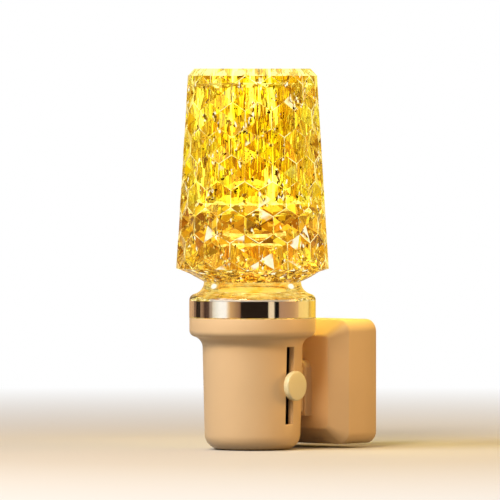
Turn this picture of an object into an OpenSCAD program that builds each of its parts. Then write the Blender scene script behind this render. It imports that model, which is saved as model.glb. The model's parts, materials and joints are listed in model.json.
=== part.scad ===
// Plug-in night light: a faceted crystal shade on a dimmable cup that a square plug box carries.
// Frame: origin in the middle of the plug box's back face, +Y into the wall, +Z up.

/* [Placing] */
// Clear distance between the cup's body and the front of the plug box
bracket_gap = 4.2; // [4:0.1:7]
// Height of the cup's rim above the middle of the plug box
rim_z = 22.75; // [21:0.25:26]

/* [Crystal shade] */
// Facet columns around the shade
facet_columns = 16; // [12:2:20]
// Facet rows up the shade
facet_rows = 7; // [5:2:9]
// Depth of each hexagonal dimple
facet_depth = 1.7; // [0.5:0.1:2]
// Radius at the top edge of the facets
shade_top_r = 22.6; // [21.5:0.1:24]
// Radius at the bottom edge of the facets
shade_bottom_r = 26.7; // [25.5:0.1:29]
// Height of the faceted wall
facet_wall_h = 67; // [60:1:76]
// Inward reach of the chamfer round the top
top_chamfer_w = 2.3; // [1:0.1:3]
// Height of the chamfer round the top
top_chamfer_h = 2.5; // [1:0.1:4]
// Height of the sloping underside
underside_h = 4.7; // [4:0.1:7]
// Narrowest radius of the neck
neck_r = 16.9; // [16:0.1:18]
// Radius of the hollow at the neck
neck_hollow_r = 4.4; // [3.5:0.1:5]
// Height of the neck's narrowest place over the chrome ring
neck_rise = 5.9; // [5.5:0.1:7]
// Drop of the skirt's straight side under the top of the chrome ring
skirt_drop = 0.6; // [0.2:0.1:1]
// Radius of the skirt round the chrome ring
skirt_r = 22.05; // [21.7:0.1:23.5]
// Radius of the open well at its mouth
well_top_r = 17; // [15:0.1:18]
// Radius of the open well at its floor
well_floor_r = 15.6; // [13:0.1:17]
// Rounding of the well's floor edge
well_edge_r = 1.5; // [0.5:0.1:3]
// Thickness of the solid block between the light pocket and the well
block_h = 11; // [6:1:14]
// Radius of the step at the well's mouth
mouth_r = 18.3; // [18:0.1:19]
// Depth of the step at the well's mouth
mouth_h = 4.7; // [2:0.1:8]
// Radius of the light pocket over the lamps
pocket_r = 12.5; // [10:0.1:14]
// Radius at the top of the light pocket
pocket_top_r = 9.5; // [7:0.1:12]
// Height of the light pocket
pocket_h = 20.5; // [12:0.5:24]
// Rounding of the light pocket's top edge
pocket_edge_r = 3; // [1:0.1:4]

/* [Chrome ring and lamp board] */
// Outer radius of the chrome ring
ring_r = 19.9; // [19.5:0.1:20.6]
// Wall of the chrome ring
ring_wall = 1.2; // [0.8:0.1:1.4]
// Height of the chrome ring
ring_h = 6.65; // [6:0.05:8]
// Thickness of the lamp board
lamp_board_t = 1; // [0.8:0.1:1.6]
// Number of lamp chips in the ring
chip_count = 12; // [6:1:14]
// Radius of the ring of lamp chips
chip_ring_r = 9.5; // [8:0.1:10]
// Sides and height of one lamp chip
chip_size = [2.8, 3.5, 0.7];
// Thickness of the opal diffuser
diffuser_t = 1; // [0.6:0.1:1.2]
// Height of the diffuser over the carrier
diffuser_h = 3; // [2.9:0.1:3.5]

/* [Cup] */
// Height of the cup
cup_h = 45.85; // [43:0.25:50]
// Radius of the collar
collar_r = 22; // [21.5:0.1:23]
// Height of the collar's straight side
collar_h = 4.45; // [3:0.05:6]
// Height of the curved shoulder under the collar
shoulder_h = 6; // [5:0.1:7]
// Radius of the cup under the shoulder
cup_top_r = 17.4; // [17:0.1:18.2]
// Radius of the cup above its bottom edge
cup_bottom_r = 16.7; // [16.4:0.1:17.4]
// Rounding of the cup's bottom edge
cup_edge_r = 5.4; // [3:0.1:7]
// Wall of the cup
cup_wall = 2.1; // [1.6:0.1:2.3]
// Radius of the bore in the collar
collar_bore_r = 17.6; // [17.2:0.1:18]

/* [Brightness slider] */
// Width of the slot
slot_w = 3.8; // [3.2:0.1:5]
// Length of the slot
slot_h = 26.9; // [24:0.1:27]
// Height of the middle of the slot
slot_z = -0.65; // [-1.5:0.05:-0.4]
// Diameter of the knob
knob_d = 10.3; // [8:0.1:10.8]
// Thickness of the knob
knob_t = 2.3; // [1.8:0.1:3]
// Gap between the cup's side and the back of the knob
knob_gap = 0.9; // [0.8:0.1:1.6]
// Rounding of the knob's edge
knob_edge = 0.5; // [0.2:0.1:0.8]
// Height of the knob's stem
stem_h = 7.3; // [6:0.1:9]
// Travel each way from the middle
travel = 9.5; // [6:0.5:9.5]
// Thickness of the slider's lever
lever_t = 1.2; // [0.8:0.1:1.6]
// Height of the slider's lever
lever_h = 4; // [3:0.1:5]
// Width of the slider's case
case_w = 7; // [6.5:0.1:8]
// Depth of the slider's case
case_d = 6.5; // [6:0.1:7.5]
// Length of the slider's case
case_h = 31; // [30.5:0.1:32]
// Sheet thickness of the slider's case
case_t = 0.4; // [0.3:0.05:0.6]

/* [Control board] */
// Width of the control board
control_w = 24; // [21:0.5:24]
// Height of the control board
control_h = 33; // [31.5:0.5:34]
// Thickness of the circuit boards
board_t = 1.6; // [1:0.1:1.6]

/* [Plug box] */
// Side of the square plug box
box_side = 43.5; // [42:0.1:46]
// Depth of the plug box
box_depth = 20.1; // [19.5:0.1:21]
// Inward reach of the bevel round the front
bevel_w = 5.6; // [3:0.1:7]
// Depth of the bevel round the front
bevel_d = 5; // [3:0.1:6]
// Softening of the two edges of the bevel
bevel_soft_r = 3.4; // [1:0.1:3.6]
// Radius of the box's corners
box_corner_r = 4.4; // [3:0.1:6]
// Wall of the plug box
box_wall = 2; // [1.6:0.1:2.2]
// Thickness of the back cover
cover_t = 2; // [1.6:0.1:2.2]

/* [Bracket] */
// Width of the arched boss on the box
boss_w = 17.6; // [15:0.1:20]
// Height of the top of the boss
boss_top_z = 7.3; // [7:0.1:9]
// Height of the foot of the boss
boss_foot_z = -11.9; // [-13:0.1:-10.5]
// Narrowing of the cup's pad inside the boss's outline, at each side
pad_inset = 0.5; // [0.2:0.1:1]
// Drop of the pad's top and rise of its foot inside the boss's outline
pad_trim = 1.6; // [0.5:0.1:2.5]
// Distance of the bracket's seam from the lamp's axis
seam_reach = 18; // [17.9:0.05:19]
// Width of the seam
seam_gap = 0.2; // [0.1:0.05:0.4]
// Radius of the wire bore through the bracket
wire_bore_r = 1.9; // [1.6:0.1:2.2]
// Height of the wire bore
wire_bore_z = -2.3; // [-3:0.1:-1.6]
// Distance of each bracket screw from the wire bore
bracket_screw_step = 5.1; // [4.8:0.1:5.6]

/* [Plug blades] */
// Distance between the two blades
blade_pitch = 12.7; // [12.7]
// Thickness of a blade
blade_t = 1.5; // [1.4:0.1:1.6]
// Width of a blade
blade_w = 6.35; // [6.1:0.05:6.6]
// Length of a blade outside the cover
blade_reach = 17; // [15.5:0.5:18]
// Diameter of the hole near a blade's tip
blade_hole_d = 3.5; // [3:0.1:4]
// Distance of that hole from the cover
blade_hole_y = 12; // [11:0.1:12.5]

/* [Power board] */
// Room between each side of the power board and the box's wall
power_side_room = 6.75; // [6.75:0.05:8]
// Room above and below the power board
power_end_room = 0.75; // [0.6:0.05:1.5]
// Gap between the power board and the back cover
power_gap = 6; // [5.8:0.1:6.4]

/* [Screws] */
// Radius of a small screw's shank
screw_r = 1; // [0.8:0.05:1.1]
// Radius of a small screw's head
screw_head_r = 1.9; // [1.6:0.1:2.1]
// Height of a small screw's head
screw_head_h = 0.85; // [0.6:0.05:0.9]
// Radius of the boss that a small screw bites in
screw_boss_r = 2.6; // [2.4:0.1:2.8]

/* [Clearances] */
// Play of a shank in its hole
screw_play = 0.05; // [0.03:0.01:0.1]
// Play between nested rings
ring_play = 0.1; // [0.05:0.01:0.2]
// Play between plastic shells
shell_play = 0.15; // [0.1:0.01:0.25]
// Play of the slider's moving pieces
slide_play = 0.3; // [0.25:0.05:0.4]

/* [Hidden] */
$fn = 72;
eps = 0.01;
arc_steps = 8;

axis_reach = box_depth + cup_top_r + bracket_gap;
cup_floor_z = rim_z - cup_h;
ring_top_z = rim_z + ring_h;
carrier_top_z = ring_top_z - diffuser_h;
lamp_board_top_z = carrier_top_z + lamp_board_t;
skirt_bore_r = ring_r + ring_play;
ring_bore_r = ring_r - ring_wall;
carrier_r = ring_bore_r - 2 * ring_play;
lamp_board_r = carrier_r - 1.4;

shoulder_top_z = rim_z - collar_h;
shoulder_foot_z = shoulder_top_z - shoulder_h;
cup_bore_top_r = cup_top_r - cup_wall;
cup_bore_bottom_r = cup_bottom_r - cup_wall;

neck_z = ring_top_z + neck_rise;
skirt_top_z = ring_top_z - skirt_drop;
facet_foot_z = neck_z + underside_h;
facet_top_z = facet_foot_z + facet_wall_h;
shade_top_z = facet_top_z + top_chamfer_h;
pocket_foot_z = ring_top_z + ring_play;
well_floor_z = pocket_foot_z + pocket_h + block_h;

knob_back_x = cup_top_r + knob_gap;
case_front_x = cup_bore_bottom_r - 2;
case_back_x = case_front_x - case_d;
track_t = 1;
control_front_x = case_back_x - track_t;
control_back_x = control_front_x - board_t;
control_foot_z = slot_z - control_h / 2;
rail_w = 2.2;
rail_grip = 1;

box_front_y = -box_depth;
inner_front_y = box_front_y + box_wall;
cover_inner_y = -cover_t;
power_back_y = cover_inner_y - power_gap;
power_front_y = power_back_y - board_t;
box_bore = box_side - 2 * box_wall;
power_w = box_bore - 2 * power_side_room;
power_h = box_bore - 2 * power_end_room;
across = power_w / 26;
upward = power_h / 38;
corner_boss = box_bore / 2 - screw_boss_r - 0.7;
post_x = power_w / 2 - 2.4;
post_z = power_h / 2 - 2.2;
seam_y = seam_reach - axis_reach;

carrier_screw_angle = 120;
carrier_screw_r = cup_bore_bottom_r - 1.2;
carrier_screw_l = 12;
carrier_boss_top_z = rim_z - 3.9;
bracket_boss_r = 2.3;
bracket_boss_l = 2.2;
wall_start = 6;
bracket_screw_z = [wire_bore_z - bracket_screw_step, wire_bore_z + bracket_screw_step];

retainer_t = 1.8;
retainer_size = [26, 11];
retainer_screw_x = 10.6;
retainer_front_y = cover_inner_y - 2.3;
shoulder_w = blade_w + 2.4;
shoulder_l = cover_inner_y - retainer_front_y - ring_play;
blade_tail_y = power_front_y - 0.8;

// ---- shared shapes ----

function arc(centre, r, from, to, steps = arc_steps) =
    [for (i = [0:steps]) let (a = from + (to - from) * i / steps) centre + r * [cos(a), sin(a)]];

function round_square(w, h, r, steps = arc_steps) = concat(
    arc([w / 2 - r, h / 2 - r], r, 0, 90, steps),
    arc([r - w / 2, h / 2 - r], r, 90, 180, steps),
    arc([r - w / 2, r - h / 2], r, 180, 270, steps),
    arc([w / 2 - r, r - h / 2], r, 270, 360, steps));

// Two arcs that join an upright at radius r0 to one at radius r1, each bend turning by the same angle.
function ogee_turn(r0, r1, h) = 2 * atan((r1 - r0) / h);
function ogee_sum(r0, r1, h) = h / sin(ogee_turn(r0, r1, h));

function sort_pair(a, b) = [min(a, b), max(a, b)];

function spread(v, by) = [for (e = v) e * by];

module on_axis() {
    translate([0, -axis_reach, 0]) children();
}

// Turns a flat outline so that its x stays x, its y becomes z, and it is extruded along y.
module wallwise(y0, y1) {
    translate([0, y1, 0]) rotate([90, 0, 0]) linear_extrude(y1 - y0) children();
}

module rod_y(r, y0, y1, x = 0, z = 0) {
    translate([x, y1, z]) rotate([90, 0, 0]) cylinder(r = r, h = y1 - y0);
}

module rod_x(r, x0, x1, y = 0, z = 0) {
    translate([x0, y, z]) rotate([0, 90, 0]) cylinder(r = r, h = x1 - x0);
}

module block(x, y, z) {
    translate([x[0], y[0], z[0]]) cube([x[1] - x[0], y[1] - y[0], z[1] - z[0]]);
}

// A pan-head screw that points down, the underside of its head at the origin.
module screw(l) {
    difference() {
        cylinder(r = screw_head_r, h = screw_head_h);
        for (turn = [0, 90])
            rotate([0, 0, turn])
                translate([-screw_head_r * 0.55, -0.22, screw_head_h - 0.4])
                    cube([screw_head_r * 1.1, 0.44, 1]);
    }
    translate([0, 0, -l]) cylinder(r = screw_r, h = l + eps);
}

// A screw along the wall's normal, the underside of its head at y; into is 1 towards +Y and -1 towards -Y.
module wall_screw(x, y, z, l, into) {
    translate([x, y, z]) rotate([into * 90, 0, 0]) screw(l);
}

// A tube of eight sides along a route of points.
module wire(route, r) {
    sides = 8;
    n = len(route);
    function way(i) = route[min(i + 1, n - 1)] - route[max(i - 1, 0)];
    function unit(v) = v / norm(v);
    function side(i) = unit(cross(way(i), abs(unit(way(i))[0]) < 0.8 ? [1, 0, 0] : [0, 1, 0]));
    points = [for (i = [0:n - 1], k = [0:sides - 1])
        let (u = side(i), v = unit(cross(way(i), u)), a = k * 360 / sides)
            route[i] + r * (cos(a) * u + sin(a) * v)];
    polyhedron(points, concat(
        [[for (k = [sides - 1:-1:0]) k]],
        [for (i = [0:n - 2], k = [0:sides - 1])
            let (a = i * sides + k, b = i * sides + (k + 1) % sides) [a, b, b + sides]],
        [for (i = [0:n - 2], k = [0:sides - 1])
            let (a = i * sides + k, b = i * sides + (k + 1) % sides) [a, b + sides, a + sides]],
        [[for (k = [0:sides - 1]) (n - 1) * sides + k]]));
}

// Rounds the corners of a route of points by a curve through their midpoints.
function eased(p, steps = 4) = concat([p[0]], [for (i = [1:len(p) - 2], k = [0:steps])
    let (t = k / steps, a = (p[i - 1] + p[i]) / 2, b = (p[i] + p[i + 1]) / 2)
        (1 - t) * (1 - t) * a + 2 * t * (1 - t) * p[i] + t * t * b], [p[len(p) - 1]]);

// ---- crystal shade ----

// Half columns run round the shade; a level is half a hexagon's edge down from the top.
half_columns = 2 * facet_columns;
level_count = 3 * facet_rows + 1;

function wrap(c) = (c + half_columns) % half_columns;
function row_parity(row) = (row + 1) % 2;
function is_centre(level, c) = level % 3 == 2 && c % 2 == row_parity(floor(level / 3));
function level_z(level) = facet_top_z - facet_wall_h * level / level_count;
function level_r(level) = shade_top_r + (shade_bottom_r - shade_top_r) * level / level_count;
function ring_of(r, z) = [for (c = [0:half_columns - 1])
    let (a = c * 360 / half_columns - 90) [r * cos(a), r * sin(a), z]];

module faceted_block() {
    inner_r = neck_r - 2.5;
    slope = underside_h / (shade_bottom_r - neck_r);
    wall = [for (level = [0:level_count], c = [0:half_columns - 1])
        let (r = level_r(level) - (is_centre(level, c) ? facet_depth : 0),
             a = c * 360 / half_columns - 90)
            [r * cos(a), r * sin(a), level_z(level)]];
    top = len(wall);
    foot = top + half_columns;
    function at(level, c) = level * half_columns + wrap(c);
    function hexagon(row, c) = let (m = 3 * row + 2)
        [at(m - 2, c), at(m - 1, c + 1), at(m + 1, c + 1), at(m + 2, c), at(m + 1, c - 1), at(m - 1, c - 1)];
    dimples = [for (row = [0:facet_rows - 1], k = [0:facet_columns - 1], s = [0:5])
        let (c = 2 * k + row_parity(row), rim = hexagon(row, c))
            [at(3 * row + 2, c), rim[s], rim[(s + 1) % 6]]];
    top_fill = [for (k = [0:facet_columns - 1], s = [-1, 1])
        let (c = 2 * k + 1 - row_parity(0))
            s < 0 ? [at(0, c), at(1, c), at(0, c - 1)] : [at(0, c + 1), at(1, c), at(0, c)]];
    foot_fill = [for (k = [0:facet_columns - 1], s = [-1, 1])
        let (c = 2 * k + 1 - row_parity(facet_rows - 1), m = level_count)
            s < 0 ? [at(m, c), at(m, c - 1), at(m - 1, c)] : [at(m, c + 1), at(m, c), at(m - 1, c)]];
    chamfer = [for (c = [0:half_columns - 1])
        [at(0, c), top + c, top + wrap(c + 1), at(0, c + 1)]];
    underside = [for (c = [0:half_columns - 1])
        [foot + c, at(level_count, c), at(level_count, c + 1), foot + wrap(c + 1)]];
    polyhedron(
        concat(wall, ring_of(shade_top_r - top_chamfer_w, shade_top_z),
            ring_of(inner_r, facet_foot_z - slope * (shade_bottom_r - inner_r))),
        concat(dimples, top_fill, foot_fill, chamfer, underside,
            [[for (c = [half_columns - 1:-1:0]) top + c]],
            [[for (c = [0:half_columns - 1]) foot + c]]));
}

module shade_neck() {
    turn = ogee_turn(neck_r, skirt_r, neck_z - skirt_top_z);
    sum = ogee_sum(neck_r, skirt_r, neck_z - skirt_top_z);
    corner_r = sum - neck_hollow_r;
    rotate_extrude() polygon(concat(
        [[0, rim_z], [skirt_r, rim_z]],
        arc([skirt_r - corner_r, skirt_top_z], corner_r, 0, turn),
        arc([neck_r + neck_hollow_r, neck_z], neck_hollow_r, 180 + turn, 180),
        [[neck_r, neck_z + underside_h / 2], [0, neck_z + underside_h / 2]]));
}

module shade_well() {
    step_r = well_top_r - 0.1;
    step_h = 1.6;
    rotate_extrude() polygon(concat(
        [[0, well_floor_z]],
        arc([well_floor_r - well_edge_r, well_floor_z + well_edge_r], well_edge_r, -90, 0, 4),
        [[step_r, shade_top_z - mouth_h - step_h], [mouth_r, shade_top_z - mouth_h],
         [mouth_r, shade_top_z + 1], [0, shade_top_z + 1]]));
}

module light_pocket() {
    top_z = pocket_foot_z + pocket_h;
    rotate_extrude() polygon(concat(
        [[0, rim_z - 1], [skirt_bore_r, rim_z - 1], [skirt_bore_r, pocket_foot_z],
         [pocket_r, pocket_foot_z]],
        arc([pocket_top_r - pocket_edge_r, top_z - pocket_edge_r], pocket_edge_r, 0, 90, 6),
        [[0, top_z]]));
}

module crystal_shade() {
    color([1, 0.86, 0.42, 0.45]) on_axis() difference() {
        union() {
            faceted_block();
            shade_neck();
        }
        shade_well();
        light_pocket();
    }
}

// ---- ring, diffuser and lamp board ----

module chrome_ring() {
    edge = 0.25;
    color([0.85, 0.84, 0.82]) on_axis() rotate_extrude() polygon([
        [ring_bore_r, rim_z], [ring_r - edge, rim_z], [ring_r, rim_z + edge],
        [ring_r, ring_top_z - edge], [ring_r - edge, ring_top_z], [ring_bore_r, ring_top_z]]);
}

module diffuser() {
    color([1, 0.95, 0.82]) on_axis() rotate_extrude() polygon([
        [0, ring_top_z - diffuser_t], [lamp_board_r + ring_play, ring_top_z - diffuser_t],
        [lamp_board_r + ring_play, carrier_top_z], [carrier_r, carrier_top_z],
        [carrier_r, ring_top_z - 0.4], [carrier_r - 0.4, ring_top_z], [0, ring_top_z]]);
}

module at_carrier_screws() {
    for (a = [carrier_screw_angle, -carrier_screw_angle])
        rotate([0, 0, a]) translate([carrier_screw_r, 0, 0]) children();
}

module lamp_board() {
    color([0.95, 0.95, 0.92]) on_axis() difference() {
        translate([0, 0, carrier_top_z]) cylinder(r = lamp_board_r, h = lamp_board_t);
        at_carrier_screws() translate([0, 0, carrier_top_z - 1])
            cylinder(r = screw_r + screw_play, h = lamp_board_t + 2);
    }
}

module lamp_chips() {
    color([1, 0.85, 0.35]) on_axis()
        for (i = [0:chip_count - 1])
            rotate([0, 0, (i + 0.5) * 360 / chip_count])
                translate([chip_ring_r - chip_size[0] / 2, -chip_size[1] / 2, lamp_board_top_z])
                    cube(chip_size);
}

module lamp_carrier() {
    plate = 1.5;
    wall = 2.6;
    spigot_r = collar_bore_r - ring_play;
    color([0.93, 0.92, 0.88]) on_axis() difference() {
        union() {
            translate([0, 0, carrier_boss_top_z])
                cylinder(r = spigot_r, h = carrier_top_z - carrier_boss_top_z);
            translate([0, 0, rim_z]) cylinder(r = carrier_r, h = carrier_top_z - rim_z);
        }
        translate([0, 0, carrier_boss_top_z - 1])
            linear_extrude(carrier_top_z - plate - carrier_boss_top_z + 1) difference() {
                circle(spigot_r - wall);
                at_carrier_screws() circle(screw_boss_r - 0.3);
            }
        at_carrier_screws() translate([0, 0, carrier_boss_top_z - 1])
            cylinder(r = screw_r + screw_play, h = 12);
        translate([0, 0, carrier_top_z - 3]) cylinder(r = 2.6, h = 6);
    }
}

module carrier_screws() {
    color([0.75, 0.76, 0.78]) on_axis() at_carrier_screws()
        translate([0, 0, lamp_board_top_z]) screw(carrier_screw_l);
}

// ---- cup ----

module cup_outside() {
    turn = ogee_turn(cup_top_r, collar_r, shoulder_h);
    hollow_r = ogee_sum(cup_top_r, collar_r, shoulder_h) * 0.65;
    round_r = ogee_sum(cup_top_r, collar_r, shoulder_h) - hollow_r;
    edge = 0.3;
    rotate_extrude() polygon(concat(
        [[0, cup_floor_z]],
        arc([cup_bottom_r - cup_edge_r, cup_floor_z + cup_edge_r], cup_edge_r, -90, 0),
        arc([cup_top_r + hollow_r, shoulder_foot_z], hollow_r, 180, 180 - turn),
        arc([collar_r - round_r, shoulder_top_z], round_r, -turn, 0),
        [[collar_r, rim_z - edge], [collar_r - edge, rim_z], [0, rim_z]]));
}

module cup_hollow() {
    inner_edge_r = cup_edge_r - cup_wall;
    rotate_extrude() polygon(concat(
        [[0, cup_floor_z + cup_wall]],
        arc([cup_bore_bottom_r - inner_edge_r, cup_floor_z + cup_edge_r], inner_edge_r, -90, 0, 5),
        [[cup_bore_top_r, shoulder_foot_z + 0.7], [collar_bore_r, shoulder_foot_z + 4.7],
         [collar_bore_r, rim_z + 1], [0, rim_z + 1]]));
}

// The arched outline of the bracket, from its foot to the top of its arch.
module arch(w, foot_z, top_z) {
    r = w / 2;
    polygon(concat([[r, foot_z]], arc([0, top_z - r], r, 0, 180, 16), [[-r, foot_z]]));
}

module bracket_pad() {
    wallwise(wall_start, seam_reach - seam_gap)
        arch(boss_w - 2 * pad_inset, boss_foot_z + pad_trim, boss_top_z - pad_trim);
}

module board_rails() {
    for (side = [-1, 1]) {
        y = sort_pair(side * (control_w / 2 - rail_grip), side * cup_bore_top_r);
        block([control_back_x - rail_w, control_front_x + rail_w], y, [control_foot_z - 1.2, slot_z + 12]);
    }
}

module cup_housing() {
    color([0.91, 0.8, 0.66]) on_axis() difference() {
        union() {
            difference() {
                union() {
                    cup_outside();
                    bracket_pad();
                }
                cup_hollow();
            }
            intersection() {
                union() {
                    board_rails();
                    at_carrier_screws() translate([0, 0, cup_floor_z + 1])
                        cylinder(r = screw_boss_r, h = carrier_boss_top_z - cup_floor_z - 1);
                    for (z = bracket_screw_z)
                        rod_y(bracket_boss_r, cup_bore_top_r - bracket_boss_l, seam_reach - 2, 0, z);
                }
                rotate_extrude() polygon([
                    [0, cup_floor_z + 1], [cup_bottom_r - cup_edge_r, cup_floor_z + 1],
                    [cup_bottom_r - 0.7, cup_floor_z + cup_edge_r], [cup_top_r - 0.7, shoulder_foot_z],
                    [cup_top_r - 0.7, rim_z], [0, rim_z]]);
            }
        }
        // slot for the slider
        block([cup_bore_bottom_r - 2, cup_top_r + 2], [-slot_w / 2, slot_w / 2],
            [slot_z - slot_h / 2, slot_z + slot_h / 2]);
        // grooves that hold the control board, open at the top
        block([control_back_x - screw_play, control_front_x + screw_play],
            [-control_w / 2 - screw_play, control_w / 2 + screw_play], [control_foot_z, slot_z + 13]);
        rod_y(wire_bore_r, wall_start, seam_reach + 1, 0, wire_bore_z);
        for (z = bracket_screw_z)
            rod_y(screw_r + screw_play, wall_start, seam_reach + 1, 0, z);
        at_carrier_screws()
            translate([0, 0, lamp_board_top_z - carrier_screw_l - 1])
                cylinder(r = screw_r + screw_play, h = carrier_screw_l);
    }
}

// ---- brightness slider ----

module dimmer_knob() {
    x0 = knob_back_x;
    stem_back_x = case_front_x + slide_play;
    color([0.95, 0.86, 0.7]) on_axis() difference() {
        union() {
            translate([x0, 0, slot_z]) rotate([0, 90, 0]) rotate_extrude() polygon(concat(
                [[0, 0], [knob_d / 2 - knob_edge, 0]],
                arc([knob_d / 2 - knob_edge, knob_edge], knob_edge, -90, 0, 4),
                arc([knob_d / 2 - knob_edge, knob_t - knob_edge], knob_edge, 0, 90, 4),
                [[0, knob_t]]));
            block([stem_back_x, x0 + eps], [slide_play - slot_w / 2, slot_w / 2 - slide_play],
                [slot_z - stem_h / 2, slot_z + stem_h / 2]);
        }
        block([stem_back_x - 1, x0 - 1], [-lever_t / 2 - screw_play, lever_t / 2 + screw_play],
            [slot_z - lever_h / 2 - screw_play, slot_z + lever_h / 2 + screw_play]);
    }
}

carriage_h = 7;
carriage_d = 2.6;
carriage_front_x = case_front_x - case_t - slide_play;

module slider_lever() {
    w = case_w - 2 * case_t - 2 * slide_play;
    color([0.2, 0.2, 0.21]) on_axis() {
        block([carriage_front_x - carriage_d, carriage_front_x], [-w / 2, w / 2],
            [slot_z - carriage_h / 2, slot_z + carriage_h / 2]);
        block([carriage_front_x - 1, knob_back_x - 1.1], [-lever_t / 2, lever_t / 2],
            [slot_z - lever_h / 2, slot_z + lever_h / 2]);
    }
}

module wiper_contacts() {
    finger_t = 0.25;
    top_x = carriage_front_x - carriage_d;
    tip_x = case_back_x + slide_play;
    color([0.86, 0.7, 0.35]) on_axis()
        for (y = [-1.5, 1.5])
            translate([0, y + 0.5, slot_z]) rotate([90, 0, 0]) linear_extrude(1)
                polygon([[top_x, -3], [top_x, 3], [top_x - finger_t, 3], [top_x - finger_t, -1.5],
                         [tip_x, -2.7], [tip_x, -3.2], [top_x - finger_t - 0.1, -2.1],
                         [top_x - finger_t, -3]]);
}

module slider_case() {
    color([0.16, 0.16, 0.17]) on_axis() difference() {
        block([case_back_x, case_front_x], [-case_w / 2, case_w / 2],
            [slot_z - case_h / 2, slot_z + case_h / 2]);
        block([case_back_x - 1, case_front_x - case_t], [case_t - case_w / 2, case_w / 2 - case_t],
            [slot_z - case_h / 2 + case_t, slot_z + case_h / 2 - case_t]);
        block([case_front_x - 1, case_front_x + 1], [-lever_t / 2 - slide_play, lever_t / 2 + slide_play],
            [slot_z - travel - lever_h / 2 - slide_play, slot_z + travel + lever_h / 2 + slide_play]);
    }
}

pin_z = [for (end = [-1, 1], k = [0:2]) slot_z + end * (case_h / 2 - 1.2 - 1.6 * k)];
pin_r = 0.4;

module slider_track() {
    color([0.45, 0.26, 0.14]) on_axis()
        block([case_back_x - track_t, case_back_x], [-case_w / 2, case_w / 2],
            [slot_z - case_h / 2, slot_z + case_h / 2]);
}

module slider_pins() {
    color([0.8, 0.8, 0.82]) on_axis()
        for (z = pin_z) rod_x(pin_r, control_back_x - 1.2, control_front_x, 0, z);
}

// ---- control board ----

module control_board() {
    color([0.08, 0.3, 0.16]) on_axis() difference() {
        block([control_back_x, control_front_x], [-control_w / 2, control_w / 2],
            [control_foot_z, control_foot_z + control_h]);
        for (z = pin_z) rod_x(pin_r + screw_play, control_back_x - 1, control_front_x + 1, 0, z);
    }
}

module control_chip() {
    leg_l = 1.1;
    leg_w = 0.4;
    leg_pitch = 1.27;
    body_x = control_back_x - 0.15;
    color([0.12, 0.12, 0.13]) on_axis() {
        block([body_x - 1.5, body_x], [-9, -5], [slot_z - 2.5, slot_z + 2.5]);
        for (k = [0:3], y = [-10, -5.1])
            block([control_back_x - 0.7, control_back_x], [y, y + leg_l],
                [slot_z - 2.1 + k * leg_pitch, slot_z - 2.1 + k * leg_pitch + leg_w]);
    }
}

module control_capacitor() {
    r = 3.2;
    color([0.12, 0.14, 0.2]) on_axis()
        translate([control_back_x - 7, -4.6, slot_z - 9.5]) rotate([0, 90, 0]) can(r, 7);
}

// A round capacitor's can with the rolled groove near its foot, axis up from its foot at z = h.
module can(r, h) {
    groove = 0.35;
    rotate_extrude() polygon([
        [0, 0], [r - 0.4, 0], [r, 0.4], [r, h - 1.9], [r - groove, h - 1.6], [r - groove, h - 1.2],
        [r, h - 0.9], [r, h - 0.2], [r - 0.2, h], [0, h]]);
}

module control_parts() {
    color([0.75, 0.7, 0.6]) on_axis()
        for (k = [0:4], y = [5.8, 8.6])
            block([control_back_x - 0.6, control_back_x], [y, y + 2],
                [slot_z - 6 + 3.1 * k, slot_z - 4.75 + 3.1 * k]);
}

lamp_wire_r = 0.55;
supply_wire_r = 0.6;

module lamp_wires() {
    color([0.8, 0.2, 0.12]) on_axis()
        for (side = [-1, 1])
            wire(eased([
                [control_back_x, side * 2.2, slot_z + 12],
                [control_back_x - 2, side * 2.2, slot_z + 12],
                [control_back_x - 2.6, side * 2, slot_z + 15],
                [0.3, side * 1.2, slot_z + 20],
                [0, side * 1.2, carrier_top_z - 4],
                [0, side * 1.2, carrier_top_z]]), lamp_wire_r);
}

// ---- plug box ----

// The bevelled outline in x and y with softened edges, shrunk by inset on every side.
function bevel_outline(inset, back_y) = let (
    lean = atan(bevel_w / bevel_d),
    half = box_side / 2 - inset,
    side_y = box_front_y + bevel_d + inset + bevel_soft_r * tan(lean / 2),
    front_x = half - bevel_w - bevel_soft_r * tan((90 - lean) / 2),
    edge = concat([[half, back_y]],
        arc([half - bevel_soft_r, side_y], bevel_soft_r, 0, -lean, 4),
        arc([front_x, box_front_y + inset + bevel_soft_r], bevel_soft_r, -lean, -90, 4)))
    concat(edge, [for (i = [len(edge) - 1:-1:0]) [-edge[i][0], edge[i][1]]]);

module box_form(inset, back_y) {
    side = box_side - 2 * inset;
    intersection() {
        wallwise(box_front_y + inset - 1, back_y)
            polygon(round_square(side, side, max(box_corner_r - inset * 0.6, 1), 5));
        linear_extrude(box_side + 2, center = true) polygon(bevel_outline(inset, back_y));
        rotate([0, 90, 0]) linear_extrude(box_side + 2, center = true) polygon(bevel_outline(inset, back_y));
    }
}

module at_corner_bosses() {
    for (x = [-1, 1], z = [-1, 1]) translate([x * corner_boss, 0, z * corner_boss]) children();
}

module at_posts() {
    for (s = [-1, 1]) translate([s * post_x, 0, s * post_z]) children();
}

cover_screw_l = 8;
board_screw_l = 6;
bracket_screw_l = 10;

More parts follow.
